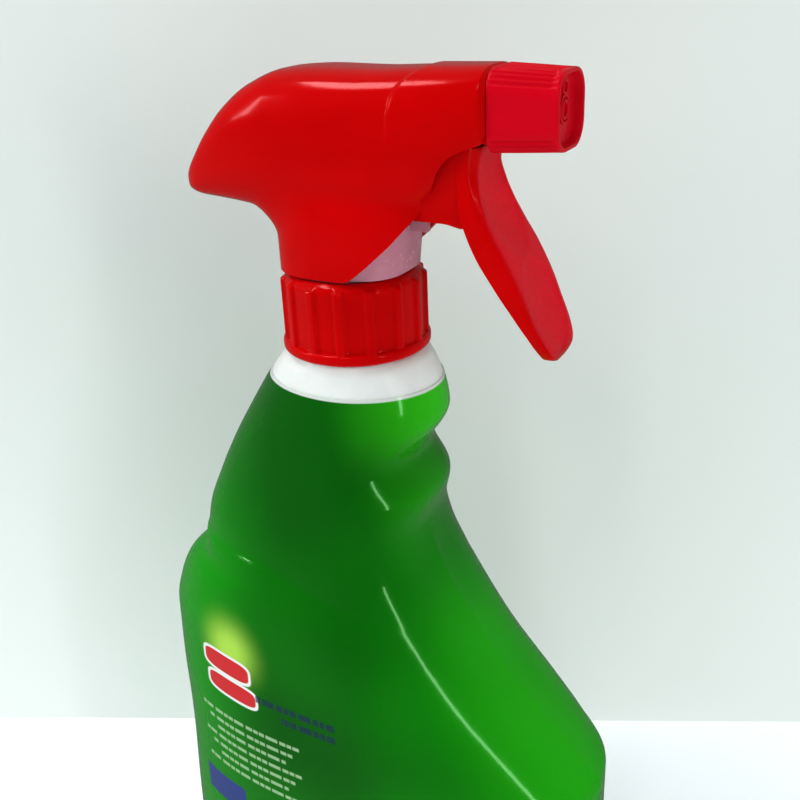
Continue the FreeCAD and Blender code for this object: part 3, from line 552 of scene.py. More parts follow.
@dataclass
class Bottle:
    """Blow-moulded bottle with its neck finish, and the shrink sleeve on it."""

    shoulder: float = 173.5
    wall: float = 1.2
    corner: float = 6.0
    recess: float = 2.2
    ring: float = 5.0
    squareness: float = 2.6
    neck_radius: float = 12.5
    bore: float = 10.8
    rim: float = 12.0
    thread_height: float = 1.2
    thread_base: float = 2.1
    thread_crest: float = 1.0
    thread_lead: float = 4.233
    thread_turns: float = 1.25
    thread_low: float = 5.05875
    film: float = 0.25
    film_gap: float = 0.05
    film_top: float = 7.2
    ledge_height: float = 1.6
    ledge_scoop: float = 0.45
    ledge_step: Span = (-0.5, 1.3)
    ledge_swell: float = 9.0
    ledge_fade: float = 42.0
    ledge_rear: Span = (-50.0, -34.0)
    ledge_front: Span = (4.0, 22.0)
    scoop_width: float = 4.0
    keel_depth: float = 0.9
    keel_edge: float = 5.0
    keel_width: float = 16.0
    keel_top: Span = (40.0, 52.0)
    keel_foot: Span = (118.0, 150.0)
    keel_start: Span = (8.0, 14.0)
    columns: int = 288
    rear: Table = ((0.5, 15.2), (2.6, 17.7), (6.8, 21.2), (11, 24.1), (17, 28.0), (27, 34.1), (37, 39.2),
                   (47, 43.3), (53, 44.3), (57.5, 43.4), (61, 49.4), (64.4, 52.6), (70, 55.3), (77, 57.2),
                   (86, 57.2), (105, 57.2), (150, 59.8), (173.5, 60.4))
    front: Table = ((0.5, 15.2), (2.2, 17.3), (8.5, 20.1), (14, 20.8), (26, 14.9), (34, 19.0), (43, 17.0),
                    (51, 18.7), (58.7, 22.2), (66, 26.6), (80, 36.6), (95, 50.6), (102, 56.9), (109, 61.8),
                    (117, 61.8), (173.5, 57.8))
    depth: Table = ((0.5, 15.2), (3, 16.2), (7, 17.0), (30, 20.5), (50, 23.6), (75, 27.5), (100, 29.5),
                    (173.5, 29.5))
    ledge: Table = ((-60, 51.5), (-20, 51.7), (-9.6, 54.3), (0.3, 56.6), (9.2, 59.0), (24, 64.0))

    def angles(self, columns: int) -> np.ndarray:
        """Section angles that space the columns evenly round the body."""
        fine = np.linspace(0, TURN, 4001)
        front, rear, side, power = (np.array([v]) for v in (60.0, 57.0, 29.5, self.squareness))
        outline = self._oval(front, rear, side, power, fine)[0]
        steps = np.linalg.norm(np.diff(outline, axis=0), axis=1)
        length = np.concatenate([[0.0], np.cumsum(steps)])
        return np.interp(np.linspace(0, length[-1], columns, endpoint=False), length, fine)

    def _oval(self, front: np.ndarray, rear: np.ndarray, side: np.ndarray, power: np.ndarray,
              angle: np.ndarray) -> np.ndarray:
        """Rounded outlines (rows, columns, 2): cosine and sine to the power 2 / power, times each reach."""
        c, s = np.cos(angle)[None], np.sin(angle)[None]
        bend = (2 / power)[:, None]
        reach = np.where(c >= 0, front[:, None], rear[:, None])
        wide = np.sign(c) * np.abs(c) ** bend * reach
        deep = np.sign(s) * np.abs(s) ** bend * side[:, None]
        return np.stack([wide, deep], axis=-1)

    def sections(self, drop: np.ndarray, grow: np.ndarray | float, inset: np.ndarray | float,
                 columns: int) -> np.ndarray:
        """Level sections of the bottle.

        Args:
            drop: heights below the collar's face.
            grow: how far each section is grown outwards after its creases are sculpted.
            inset: how far each section is drawn in, for the base.
            columns: points in a section.

        Returns:
            Points (rows, columns, 3) in neck coordinates.
        """
        power = 2 + (self.squareness - 2) * np.clip((drop - 8) / 50, 0, 1)
        extra = np.broadcast_to(np.asarray(grow, float) - inset, drop.shape)
        reach = [follow(table, drop) + extra for table in (self.front, self.rear, self.depth)]
        flat = self._oval(reach[0], reach[1], reach[2], power, self.angles(columns))
        points = np.concatenate([flat, np.repeat(-drop[:, None, None], columns, axis=1)], axis=-1)
        out = points * [1, 1, 0]
        out /= np.linalg.norm(out, axis=2, keepdims=True)
        return points + out * self.sculpt(points)[..., None]

    def sculpt(self, points: np.ndarray) -> np.ndarray:
        """Outward relief of the moulded body at points of its sections.

        The ledge starts with a small step along its line, rises smoothly over 9 mm and dies out below.
        A keel runs down the front: the skin falls away from the middle plane on both sides of it.
        """
        x, y, drop = points[..., 0], points[..., 1], -points[..., 2]
        below = drop - follow(self.ledge, x)
        rise = 0.5 * smooth(below, *self.ledge_step) + 0.5 * smooth(below, 0.0, self.ledge_swell)
        rise = rise * (1 - smooth(below, self.ledge_swell, self.ledge_fade))
        reach = smooth(x, *self.ledge_rear) * (1 - smooth(x, *self.ledge_front))
        scoop = -self.ledge_scoop * np.exp(-(below / self.scoop_width) ** 2)
        front = smooth(drop, *self.keel_top) * (1 - smooth(drop, *self.keel_foot))
        front = front * smooth(x, *self.keel_start)
        fall = (1 - np.exp(-np.abs(y) / self.keel_edge)) * np.exp(-(y / self.keel_width) ** 2)
        keel = -self.keel_depth * fall * front
        return (self.ledge_height * rise + scoop) * reach + keel

    def shell(self) -> bpy.types.Object:
        """Bottle as one closed skin: base, side, neck with its thread, bore and inner side."""
        cols = 208
        foot = COLLAR_Z
        bend = np.radians([90, 78, 66, 52, 38, 22, 8])
        ring_in = self.corner + self.ring
        inner_foot = foot - self.recess - self.wall
        base = self.sections(np.array([foot - self.recess] * 3), 0.0,
                             np.array([22.0, 15.0, ring_in + 3]), cols)
        ring = self.sections(np.array([foot - 0.2, foot, foot]), 0.0,
                             np.array([ring_in + 0.4, ring_in, self.corner]), cols)
        heel = self.sections(foot - self.corner * (1 - np.sin(bend)), 0.0,
                             self.corner * (1 - np.cos(bend)), cols)
        side_drop = np.concatenate([np.arange(166.5, 12.0, -1.5), np.arange(11.5, 0.6, -0.5), [0.5]])
        sunk = -0.25 * smooth(side_drop, 8.5, 10.5)
        side = self.sections(side_drop, sunk, 0.0, cols)
        neck = self.neck(cols)
        in_drop = np.concatenate([[1.9, 3.0, 5.0, 8.0], np.arange(11, 164, 3.0)])
        inside = self.sections(in_drop, -self.wall - 0.25, 0.0, cols)
        inner_heel = self.sections(inner_foot - 5.0 * (1 - np.sin(bend[::-1])), -self.wall - 0.25,
                                   5.0 * (1 - np.cos(bend[::-1])), cols)
        inner_base = self.sections(np.array([inner_foot] * 2), -self.wall, np.array([12.0, 22.0]), cols)
        shape = Shape("bottle_shell")
        shape.add(np.concatenate([base, ring, heel, side, neck, inside, inner_heel, inner_base]))
        return shape.build()

    def neck(self, cols: int) -> np.ndarray:
        """Neck finish: turned wall whose radius grows by a trapezoid ridge along a helix."""
        outer = np.concatenate([[-0.45], np.linspace(0.0, self.rim - 0.4, 54)])
        rim, wide, bore = self.rim, self.neck_radius, self.bore
        w = np.concatenate([outer, [rim - 0.1, rim, rim, rim - 0.3], [6.0, 0.0, -1.7]])
        radius = np.concatenate([[wide + 0.4], np.full(54, wide), [wide - 0.1, wide - 0.5, bore + 0.3, bore],
                                 np.full(3, bore)])
        angle = self.angles(cols)
        share = (angle / TURN)[None]
        ridge = np.zeros((len(w), cols))
        slope = (self.thread_base - self.thread_crest) / 2
        for turn in range(2):
            along = share + turn
            middle = self.thread_low + self.thread_lead * along
            fade_out = 1 - smooth(along, self.thread_turns - 0.06, self.thread_turns)
            fade = smooth(along, 0.0, 0.06) * fade_out
            near = np.clip((self.thread_base / 2 - np.abs(w[:, None] - middle)) / slope, 0, 1)
            ridge = np.maximum(ridge, near * fade * self.thread_height)
        ridge[len(outer):] = 0.0
        full = radius[:, None] + ridge
        return np.stack([full * np.cos(angle), full * np.sin(angle), np.repeat(w[:, None], cols, axis=1)],
                        axis=-1)

    def sleeve(self) -> bpy.types.Object:
        """Film round the bottle: outer skin down, then inner skin up, joined at both edges."""
        low = COLLAR_Z - self.corner
        outer_drop = np.concatenate([[self.film_top + 0.02], np.arange(self.film_top + 0.3, 72.0, 0.6),
                                     np.arange(72.0, low - 0.3, 1.0), [low - 0.02]])
        inner_drop = np.linspace(low, self.film_top, 110)
        outer = self.sections(outer_drop, self.film_gap + self.film, 0.0, self.columns)
        inner = self.sections(inner_drop, self.film_gap, 0.0, self.columns)
        shape = Shape("sleeve_film")
        shape.add(np.concatenate([outer, inner]), loop=True)
        return shape.build(30.0)


# ---- collar ----

@dataclass
class Collar:
    """Ribbed closure with a rounded flange at its foot."""

    height: float = 17.7
    core: float = 15.55
    rib: float = 16.35
    flange: float = 16.8
    ribs: int = 15
    rib_angle: float = 9.5
    bore: float = 14.0
    hole: float = 12.45
    lip: float = 2.0
    samples: int = 24

    def build(self) -> bpy.types.Object:
        """Radius is the core's plus a rounded rib at each pitch angle, within the flange and bevel."""
        cols = self.ribs * self.samples
        angle = np.linspace(0, TURN, cols, endpoint=False)
        pitch = TURN / self.ribs
        off = np.abs((angle + pitch / 2) % pitch - pitch / 2)
        half = math.radians(self.rib_angle / 2)
        crest = 1 - smooth(off, half * 0.62, half * 1.12)
        dome = crest * (1 - 0.12 * np.clip(off / half, 0, 1) ** 2)
        w = np.concatenate([[0.0, 0.0, 0.12, 0.35, 0.7, 1.2, 1.8, 2.15, 2.38, 2.5, 2.56, 2.75, 3.1],
                            np.linspace(3.8, 15.6, 14), [16.1, 16.5, 16.8, 17.05, 17.3, 17.55, 17.7]])
        wide = self.flange
        flange = np.select([w < 0.01, w < 0.2, w < 0.5, w < 2.0, w < 2.3, w < 2.45, w < 2.6],
                           [wide - 0.7, wide - 0.35, wide - 0.12, wide, wide - 0.12, wide - 0.35,
                            self.core + 0.2], 0.0)
        flange[0] = self.bore + 0.3
        top = follow(((0, 0), (15.6, 0), (16.1, 0.04), (16.8, 0.42), (17.3, 0.95), (17.7, 1.6)), w)
        ribbed = self.core + (self.rib - self.core) * dome[None] * (1 - smooth(w, 16.0, 17.1))[:, None]
        radius = np.maximum(ribbed - top[:, None], flange[:, None])
        radius[0] = self.bore + 0.3
        outer = self._rows(radius, w, angle)
        high, ledge = self.height, self.height - self.lip
        inner_w = np.array([high, high - 0.25, ledge, ledge, ledge - 0.2, 8.0, 0.3])
        inner_r = np.array([self.hole + 0.25, self.hole, self.hole, self.bore - 0.2, *[self.bore] * 3])
        inner = self._rows(np.repeat(inner_r[:, None], cols, axis=1), inner_w, angle)
        shape = Shape("collar_ring")
        shape.add(np.concatenate([outer, inner]), loop=True)
        return shape.build(50.0)

    def _rows(self, radius: np.ndarray, w: np.ndarray, angle: np.ndarray) -> np.ndarray:
        """Points at the given radii (rows, columns) and heights."""
        high = np.repeat(w[:, None], len(angle), axis=1)
        return np.stack([radius * np.cos(angle), radius * np.sin(angle), high], axis=-1)


# ---- shroud ----

@dataclass
class Shroud:
    """Duck-tail hood that flows into a skirt, with a slanted lower front edge.

    Each station has x, lower w, upper w and half width.
    """

    wall: float = 1.2
    bottom: float = 18.3
    front: float = 35.5
    skirt_rear: float = 15.5
    skirt_front: float = 25.6
    skirt_half: float = 14.0
    skirt_power: float = 2.5
    power: float = 3.2
    join: float = 6.0
    join_least: float = 0.8
    nook: tuple[float, float] = (-17.0, 30.0)
    nook_size: float = 7.0
    taper: float = 0.012
    taper_start: float = 27.0
    mouth_round: float = 0.95
    mouth_middle: float = 53.2
    mouth_half: Span = (8.45, 7.15)
    barrel_height: float = 52.8
    stations: Sequence[tuple[float, float, float, float]] = (
        (-38.8, 34.2, 36.7, 5.5), (-37.0, 32.9, 39.5, 7.8), (-34.0, 32.3, 43.2, 9.8),
        (-30.0, 32.0, 48.2, 11.2), (-24.8, 31.6, 53.4, 12.4), (-19.0, 30.9, 57.3, 13.2),
        (-11.4, 29.9, 59.9, 13.8), (-2, 29.9, 60.4, 14.0), (10, 30.0, 60.5, 13.5),
        (20, 33.0, 60.8, 12.3), (29, 40.5, 60.9, 10.8), (35.5, 45.4, 61.0, 9.2))
    edge: Table = ((6.5, 18.3), (11.5, 22.4), (16.2, 26.8), (21.0, 32.4), (24.6, 38.6), (26.6, 42.5),
                   (28.6, 44.7), (31.6, 46.1), (35.5, 47.2))
    seam: Table = ((30, 22.0), (40, 17.5), (46, 16.3), (50, 16.5), (53.5, 16.9), (57, 17.8), (59.5, 19.8),
                   (62, 22.5))
    seam_step: float = 0.42
    seam_edge: Span = (-0.25, 0.35)
    seam_rear: Span = (-8.0, 12.0)
    seam_foot: Span = (44.0, 51.0)
    mouth_edge: Span = (34.4, 35.6)
    rows: int = 230

    def value(self, x: np.ndarray, y: np.ndarray, w: np.ndarray) -> np.ndarray:
        """Below zero inside the shroud: hood and skirt joined by a smooth minimum.

        Each part is a rounded outline, its size ratio less one, times its half width.
        """
        table = np.array(self.stations)
        low, high, half = (follow(list(zip(table[:, 0], table[:, k])), x) for k in (1, 2, 3))
        rise = (high - low) / 2
        ratio = (np.abs(y / half) ** self.power + np.abs((w - low - rise) / rise) ** self.power)
        hood = (ratio ** (1 / self.power) - 1) * np.minimum(half, rise)
        reach = np.where(x > 0, self.skirt_front, self.skirt_rear)
        ratio = np.abs(x / reach) ** self.skirt_power + np.abs(y / self.skirt_half) ** self.skirt_power
        skirt = (ratio ** (1 / self.skirt_power) - 1) * self.skirt_half
        skirt = skirt + self.taper * np.maximum(0.0, w - self.taper_start) ** 2
        corner = np.exp(-((x - self.nook[0]) ** 2 + (w - self.nook[1]) ** 2) / (2 * self.nook_size ** 2))
        join = self.join_least + self.join * corner
        near = np.maximum(join - np.abs(hood - skirt), 0.0) / join
        return np.minimum(hood, skirt) - near * near * join / 4

    def root(self, inner: np.ndarray, outer: np.ndarray) -> np.ndarray:
        """Point of zero value between each inner and outer point, by halving."""
        low, high = np.zeros(inner.shape[:-1]), np.ones(inner.shape[:-1])
        for _ in range(36):
            middle = (low + high) / 2
            at = inner + (outer - inner) * middle[..., None]
            inside = self.value(at[..., 0], at[..., 1], at[..., 2]) < 0
            low, high = np.where(inside, middle, low), np.where(inside, high, middle)
        return inner + (outer - inner) * low[..., None]

    def side_view(self, rows: int) -> np.ndarray:
        """Grid over the shroud's side view between tail, lower line, open rim and top line.

        Blends the four edge curves: lower and top lines across, plus the rim's own shape weighted by v.

        Returns:
            x and w of every point of one half.
        """
        turn = np.linspace(0, math.pi / 2, 30)
        bottom = np.stack([-self.skirt_rear * np.cos(turn), np.full(30, self.bottom)], axis=1)
        slant = path_points([(0.0, self.bottom), *self.edge], 64, 3)[1:]
        top = self.stations[-1][2]
        mouth_low = self.edge[-1][1]
        mouth_high = mouth_low + (top - mouth_low) * np.sin(turn)
        mouth = np.stack([np.full(30, self.front), mouth_high], axis=1)[1:]
        rim = np.concatenate([bottom, slant, mouth])
        length = np.concatenate([[0.0], np.cumsum(np.linalg.norm(np.diff(rim, axis=0), axis=1))])
        share = length / length[-1]
        v = np.linspace(0, 1, rows)
        v = v * (0.55 + 0.45 * v)
        high_x = self.stations[0][0] + (self.front - self.stations[0][0]) * v
        heights = [(s[0], s[2]) for s in self.stations]
        lows = [(s[0], s[1]) for s in self.stations]
        high = np.stack([high_x, follow(heights, high_x)], axis=1)
        outer = np.stack([np.interp(v, [0, 0.45, 1], [-38.8, -24.0, -22.0]),
                          np.interp(v, [0, 0.45, 0.6, 1], [27.0, 25.0, 22.0, self.bottom])], axis=1)
        inner = np.stack([np.interp(v, [0, 0.45, 0.6, 1], [-38.8, -10.0, -7.0, -6.0]),
                          np.interp(v, [0, 0.45, 0.6, 1], [35.4, 38.0, 36.0, self.bottom])], axis=1)
        level = np.zeros(rows)
        low = self.root(np.stack([inner[:, 0], level, inner[:, 1]], axis=-1),
                        np.stack([outer[:, 0], level, outer[:, 1]], axis=-1))[:, [0, 2]]
        low[0] = (self.stations[0][0], follow(lows, np.array(self.stations[0][0])))
        cross = share[None, :, None]
        own = rim - (rim[0] + (rim[-1] - rim[0]) * share[:, None])
        weight = (v ** 1.7)[:, None, None]
        return low[:, None] * (1 - cross) + high[:, None] * cross + weight * own[None]

    def relief(self, points: np.ndarray) -> np.ndarray:
        """Depth of the skin under the nominal one: behind the seam, and round the mouth's edge."""
        x, w = points[..., 0], points[..., 2]
        behind = 1 - smooth(x - follow(self.seam, w), *self.seam_edge)
        seam = behind * smooth(x, *self.seam_rear) * smooth(w, *self.seam_foot) * self.seam_step
        return seam + smooth(x, *self.mouth_edge) * self.mouth_round

    def build(self) -> bpy.types.Object:
        """Outer skin from tail to rim, inner skin back, and a rounded tail end."""
        flat = self.side_view(self.rows)
        x, w = flat[..., 0], flat[..., 1]
        middle = np.stack([x, np.zeros_like(x), w], axis=-1)
        half = self.root(middle, middle + [0, 20.0, 0])
        half[:, [0, -1], 1] = 0.0
        other = half[:, -2:0:-1] * [1, -1, 1]
        outer = np.concatenate([half, other], axis=1)
        inside = np.stack([outer[..., 0] * 0.8, outer[..., 1] * 0, outer[..., 2] * 0 + 42.0], axis=-1)
        normal = outward(outer, grid_normals(outer), inside)
        skin = outer - normal * self.relief(outer)[..., None]
        tail = skin[0].mean(axis=0)
        bend = np.radians([82, 60, 38, 18])[:, None, None]
        dome = tail + (skin[0] - tail) * np.cos(bend) - np.array([0.6, 0, 0]) * np.sin(bend)
        inner = outer - normal * self.wall
        inner[..., 1] = np.where(np.abs(outer[..., 1]) < self.wall, outer[..., 1] * 0.2, inner[..., 1])
        hollow = inner[20::3][::-1]
        shape = Shape("shroud_hood")
        shape.add(np.concatenate([dome, skin, inner[-1:], hollow]))
        shape.add(self.bulkhead(), loop=True)
        return shape.build(35.0)

    def bulkhead(self) -> np.ndarray:
        """Wall across the mouth with a round hole for the barrel: a flat band with softened edges."""
        angle = np.linspace(0, TURN, 160, endpoint=False)
        c, s = np.cos(angle), np.sin(angle)
        bend = 2 / self.power
        wide = np.sign(c) * np.abs(c) ** bend
        tall = np.sign(s) * np.abs(s) ** bend
        half_wide, half_tall = self.mouth_half
        rows = []
        for x, less in ((34.0, 0.4), (34.0, 0.0), (35.34, 0.0), (35.42, 0.15)):
            high = self.mouth_middle + (half_tall - less) * tall
            rows.append(np.stack([np.full(160, x), (half_wide - less) * wide, high], axis=1))
        for x, radius in ((35.42, 5.5), (35.3, 5.35), (34.0, 5.35)):
            rows.append(np.stack([np.full(160, x), radius * c, self.barrel_height + radius * s], axis=1))
        return np.array(rows)


# ---- trigger ----

@dataclass
class Trigger:
    """Lever with a scooped finger face, two side plates, hinge bosses and a thrust bar.

    Each station has w, the face's x, the rear's x, and half widths at face and rear. Each scoop has
    its middle's w, half height, share of the half width, and depth.
    """

    wall: float = 1.2
    face_wall: float = 1.8
    plate_inner: float = 7.0
    pin: tuple[float, float] = (30.3, 50.0)
    boss: float = 3.0
    bar: tuple[float, float] = (27.5, 36.0)
    bar_radius: float = 2.0
    scoops: Sequence[tuple[float, float, float, float]] = ((35.0, 10.6, 0.80, 1.1), (14.2, 9.4, 0.82, 0.95))
    stations: Sequence[tuple[float, float, float, float, float]] = (
        (46.0, 33.6, 29.2, 4.4, 8.2), (42.0, 33.1, 29.4, 5.6, 8.3), (38.0, 33.8, 29.8, 7.0, 8.6),
        (34.0, 35.2, 30.3, 8.1, 9.2), (30.0, 37.2, 31.7, 8.9, 9.5), (25.0, 40.3, 34.1, 9.2, 9.6),
        (19.0, 43.4, 38.1, 9.2, 9.6), (13.0, 45.9, 42.4, 8.9, 9.3), (8.5, 48.0, 45.3, 8.0, 8.4),
        (5.0, 49.2, 47.0, 6.0, 6.4), (3.2, 49.2, 47.6, 3.6, 4.0))

    def build(self) -> bpy.types.Object:
        """Adds the blade, the plates and the bar to one piece."""
        shape = Shape("trigger_lever")
        self._blade(shape)
        for side in (1, -1):
            shape.add(self._plate(side))
        thick = self.bar_radius
        end = ((-7.5, thick - 0.4), (-7.1, thick), (-6.2, thick), (-5.9, thick - 0.25))
        profile = (*end, *((-x, radius) for x, radius in end[::-1]))
        spindle = ring_about_x(profile, 0.0, 40)
        shape.add(np.stack([self.bar[0] + spindle[..., 1], spindle[..., 0], self.bar[1] + spindle[..., 2]],
                           axis=-1))
        return shape.build(38.0)

    def _section(self, w: np.ndarray, inset: float, nose_inset: float, count: int) -> np.ndarray:
        """Level sections of one side of the blade, from the middle of the face to the rear edge.

        Each is a broken line through face, corner, flank and rear edge whose corners are rounded by
        repeated averaging.
        """
        table = np.array(self.stations)[::-1]
        nose, tail, near, far = (follow(list(zip(table[:, 0], table[:, k])), w) for k in (1, 2, 3, 4))
        shoulder = nose - 0.34 * (nose - tail)
        nose = nose - nose_inset
        flank = np.minimum(shoulder, nose - 0.5)
        near, far = near - inset, far - inset
        corners = np.stack([np.stack([nose, 0 * near], 1), np.stack([nose, near], 1),
                            np.stack([flank, far], 1), np.stack([tail, far], 1)], axis=1)
        at = np.linspace(0, 3, count)
        k = np.minimum(at.astype(int), 2)
        t = (at - k)[None, :, None]
        line = corners[:, k] * (1 - t) + corners[:, k + 1] * t
        for _ in range(int(count * 0.24)):
            mirror = line[:, 1:2] * [1, -1]
            padded = np.concatenate([mirror, line], axis=1)
            line[:, :-1] = (padded[:, :-2] + 2 * padded[:, 1:-1] + padded[:, 2:]) / 4
        return line

    def _blade(self, shape: Shape) -> None:
        """Blade as a bent channel, closed at its tip, with two finger scoops in its face."""
        tip = 3.2 + 2.2 * (1 - np.sin(np.radians(np.linspace(90, 10, 12))))
        w = np.concatenate([tip, np.linspace(5.7, 46.0, 120)])
        outer = self._section(w, 0.0, 0.0, 46)
        y, half = outer[..., 1], outer[..., 1].max(axis=1)
        face = 1 - smooth(np.arange(46) / 45.0, 0.26, 0.42)[None]
        dip = sum(depth * np.clip(1 - ((w[:, None] - middle) / tall) ** 2 - (y / (wide * half[:, None])) ** 2,
                                  0, 1) ** 0.62 for middle, tall, wide, depth in self.scoops)
        outer[..., 0] -= dip * face
        inner = self._section(w, self.wall, self.face_wall, 30)
        open_share = smooth(w, 6.5, 11.0)[:, None] * 0.97 + 0.02
        rear = outer[:, -1:, 0]
        inner[..., 0] = rear + (inner[..., 0] - rear) * open_share
        squeeze = np.sin(np.radians(np.linspace(12, 90, 12)))
        grow = np.concatenate([squeeze, np.ones(120)])[:, None]
        centre = (outer[:, :1, 0] + rear) / 2
        outer[..., 0] = centre + (outer[..., 0] - centre) * grow
        outer[..., 1] *= grow
        inner[..., 0] = centre + (inner[..., 0] - centre) * grow
        inner[..., 1] *= grow
        other = [1, -1]
        ring = np.concatenate([outer, inner[:, ::-1], inner[:, 1:] * other, outer[:, :0:-1] * other], axis=1)
        high = np.repeat(w[:, None], ring.shape[1], axis=1)
        grid = np.stack([ring[..., 0], ring[..., 1], high], axis=-1)
        satin_half = face * smooth(w[:, None], 4.0, 7.0)
        blank = np.zeros((len(w), inner.shape[1]))
        satin = np.concatenate([satin_half, blank, blank[:, 1:], satin_half[:, :0:-1]], axis=1)
        shape.add(grid, masks={"satin": satin})

    def _plate(self, side: int) -> np.ndarray:
        """Side plate with a rounded boss about the pin, its edges softened by two inset rings."""
        arc = np.radians(np.linspace(-20, 200, 20))
        boss = np.array(self.pin) + self.boss * np.stack([np.cos(arc), np.sin(arc)], axis=1)
        lower = [(25.2, 43.0), (23.8, 40.6), (19.0, 37.5), (19.0, 31.2), (27.0, 31.2), (30.9, 30.2),
                 (32.0, 33.5), (32.0, 40.0), (32.2, 45.0)]
        line = path_points([*boss.tolist(), *lower, tuple(boss[0])], 140)
        line = line[:-1]
        for _ in range(6):
            line = (np.roll(line, 1, axis=0) + 2 * line + np.roll(line, -1, axis=0)) / 4
        middle = np.array([27.6, 38.5])
        rows = []
        edge = ((0.0, 0.96), (0.0, 0.985), (0.12, 0.996), (0.35, 1.0))
        for depth, shrink in (*edge, *((self.wall - depth, shrink) for depth, shrink in edge[::-1])):
            flat = middle + (line - middle) * shrink
            y = np.full(len(line), side * (self.plate_inner + depth))
            rows.append(np.stack([flat[:, 0], y, flat[:, 1]], axis=1))
        return np.array(rows)


# ---- nozzle ----

@dataclass
class Nozzle:
    """Rounded-square cap with grip ribs, a recessed face and rings on it.

    Each face ring has its height above the axis, its radius and how far it stands proud.
    """

    height: float = 52.8
    rear: float = 36.5
    front: float = 49.6
    half_rear: float = 7.9
    half_front: float = 7.4
    corner: float = 4.0
    wall: float = 1.4
    face: float = 47.9
    face_thick: float = 1.5
    opening: float = 6.25
    hub: float = 6.65
    hub_bore: float = 5.05
    hub_start: float = 38.0
    orifice: float = 1.9
    rib_pitch: float = 1.18
    rib_depth: float = 0.34
    rib_band: Span = (0.50, 0.58)
    rib_rear: Span = (35.9, 36.6)
    rib_front: Span = (48.3, 48.7)
    face_rings: Sequence[tuple[float, float, float]] = ((0.0, 2.75, 0.42), (4.1, 1.45, 0.42))
    columns: int = 384

    def rounded_square(self, half: np.ndarray, corner: np.ndarray, angle: np.ndarray) -> np.ndarray:
        """Distance from the axis to a square with rounded corners at each angle, (rows, columns)."""
        c, s = np.abs(np.cos(angle))[None], np.abs(np.sin(angle))[None]
        big, small = np.maximum(c, s), np.minimum(c, s)
        flat = half[:, None] / big
        core = (half - corner)[:, None]
        along = core * (big + small)
        curve = along + np.sqrt(np.maximum(along ** 2 - 2 * core ** 2 + corner[:, None] ** 2, 0))
        return np.where(flat * small <= core, flat, curve)

    def build(self) -> bpy.types.Object:
        """Outer skin with ribs, front lip, recessed face, and the hollow with its hub behind."""
        angle = np.linspace(0, TURN, self.columns, endpoint=False)
        x = np.concatenate([[35.58, 35.6, 35.75, 36.0], np.linspace(36.4, 48.6, 25),
                            [49.0, 49.3, 49.5, 49.6]])
        share = (x - self.rear) / (self.front - self.rear)
        half = self.half_rear + (self.half_front - self.half_rear) * share
        ease = np.select([x < 35.59, x < 35.7, x < 35.9], [0.22, 0.08, 0.02], 0.0)
        ease = ease + np.select([x > 49.55, x > 49.45, x > 49.2], [0.24, 0.08, 0.02], 0.0)
        radius = self.rounded_square(half - ease, self.corner + 0.9 * np.clip(share, 0, 1), angle)
        radius -= self.ribs(x, radius, angle)
        outer = self._rows(x, radius, angle)
        lip_x = np.array([49.6, 49.45, 49.1, 48.2, self.face])
        lip_half = self.opening + np.array([0.42, 0.3, 0.2, 0.05, -0.05])
        lip = self._rows(lip_x, self.rounded_square(lip_half, lip_half * 0.62, angle), angle)
        back, hole = self.face - self.face_thick, self.orifice + 0.02
        face = self._rows(np.array([self.face, self.face, back]),
                          np.repeat([[5.2], [hole], [hole]], self.columns, 1), angle)
        hub = self._rows(np.array([back, self.hub_start, self.hub_start, back - 0.4]),
                         np.repeat([[self.hub_bore], [self.hub_bore], [self.hub - 0.6], [self.hub - 0.6]],
                                   self.columns, 1), angle)
        inner_x = np.array([back - 0.4, 44.0, 40.0, 35.58])
        inner_half = np.array([6.05, 6.2, 6.35, 6.5])
        inner = self._rows(inner_x, self.rounded_square(inner_half, np.full(4, 3.3), angle), angle)
        shape = Shape("nozzle_shell")
        shape.add(np.concatenate([outer, lip, face, hub, inner]), loop=True)
        for up, wide, proud in self.face_rings:
            shape.add(self._face_ring(up, wide, proud), loop=True)
        return shape.build(35.0)

    def ribs(self, x: np.ndarray, radius: np.ndarray, angle: np.ndarray) -> np.ndarray:
        """Depth of the grip grooves: a cosine of the length round the cap, on its top and bottom."""
        flat = np.stack([radius[0] * np.cos(angle), radius[0] * np.sin(angle)], axis=1)
        step = np.linalg.norm(np.roll(flat, -1, axis=0) - flat, axis=1)
        length = np.concatenate([[0.0], np.cumsum(step)[:-1]])
        count = round(float(step.sum()) / self.rib_pitch)
        wave = 0.5 - 0.5 * np.cos(TURN * count * length / step.sum())
        where = smooth(np.abs(np.sin(angle)), *self.rib_band)
        ends = smooth(x, *self.rib_rear) * (1 - smooth(x, *self.rib_front))
        return self.rib_depth * (wave * where)[None] * ends[:, None]

    def _face_ring(self, up: float, radius: float, proud: float) -> np.ndarray:
        """Small raised ring on the face, centred above the axis by up, as a band that closes on itself."""
        foot, top = self.face - 0.2, self.face + proud
        profile = ((foot, radius), (top - 0.06, radius), (top, radius - 0.1), (top, radius - 0.35),
                   (top - 0.06, radius - 0.45), (foot, radius - 0.45))
        return ring_about_x(profile, self.height + up, 64)

    def _rows(self, x: np.ndarray, radius: np.ndarray, angle: np.ndarray) -> np.ndarray:
        """Points at x of each row and the radii (rows, columns) about the barrel's axis."""
        along = np.repeat(x[:, None], len(angle), axis=1)
        return np.stack([along, radius * np.cos(angle), self.height + radius * np.sin(angle)], axis=-1)

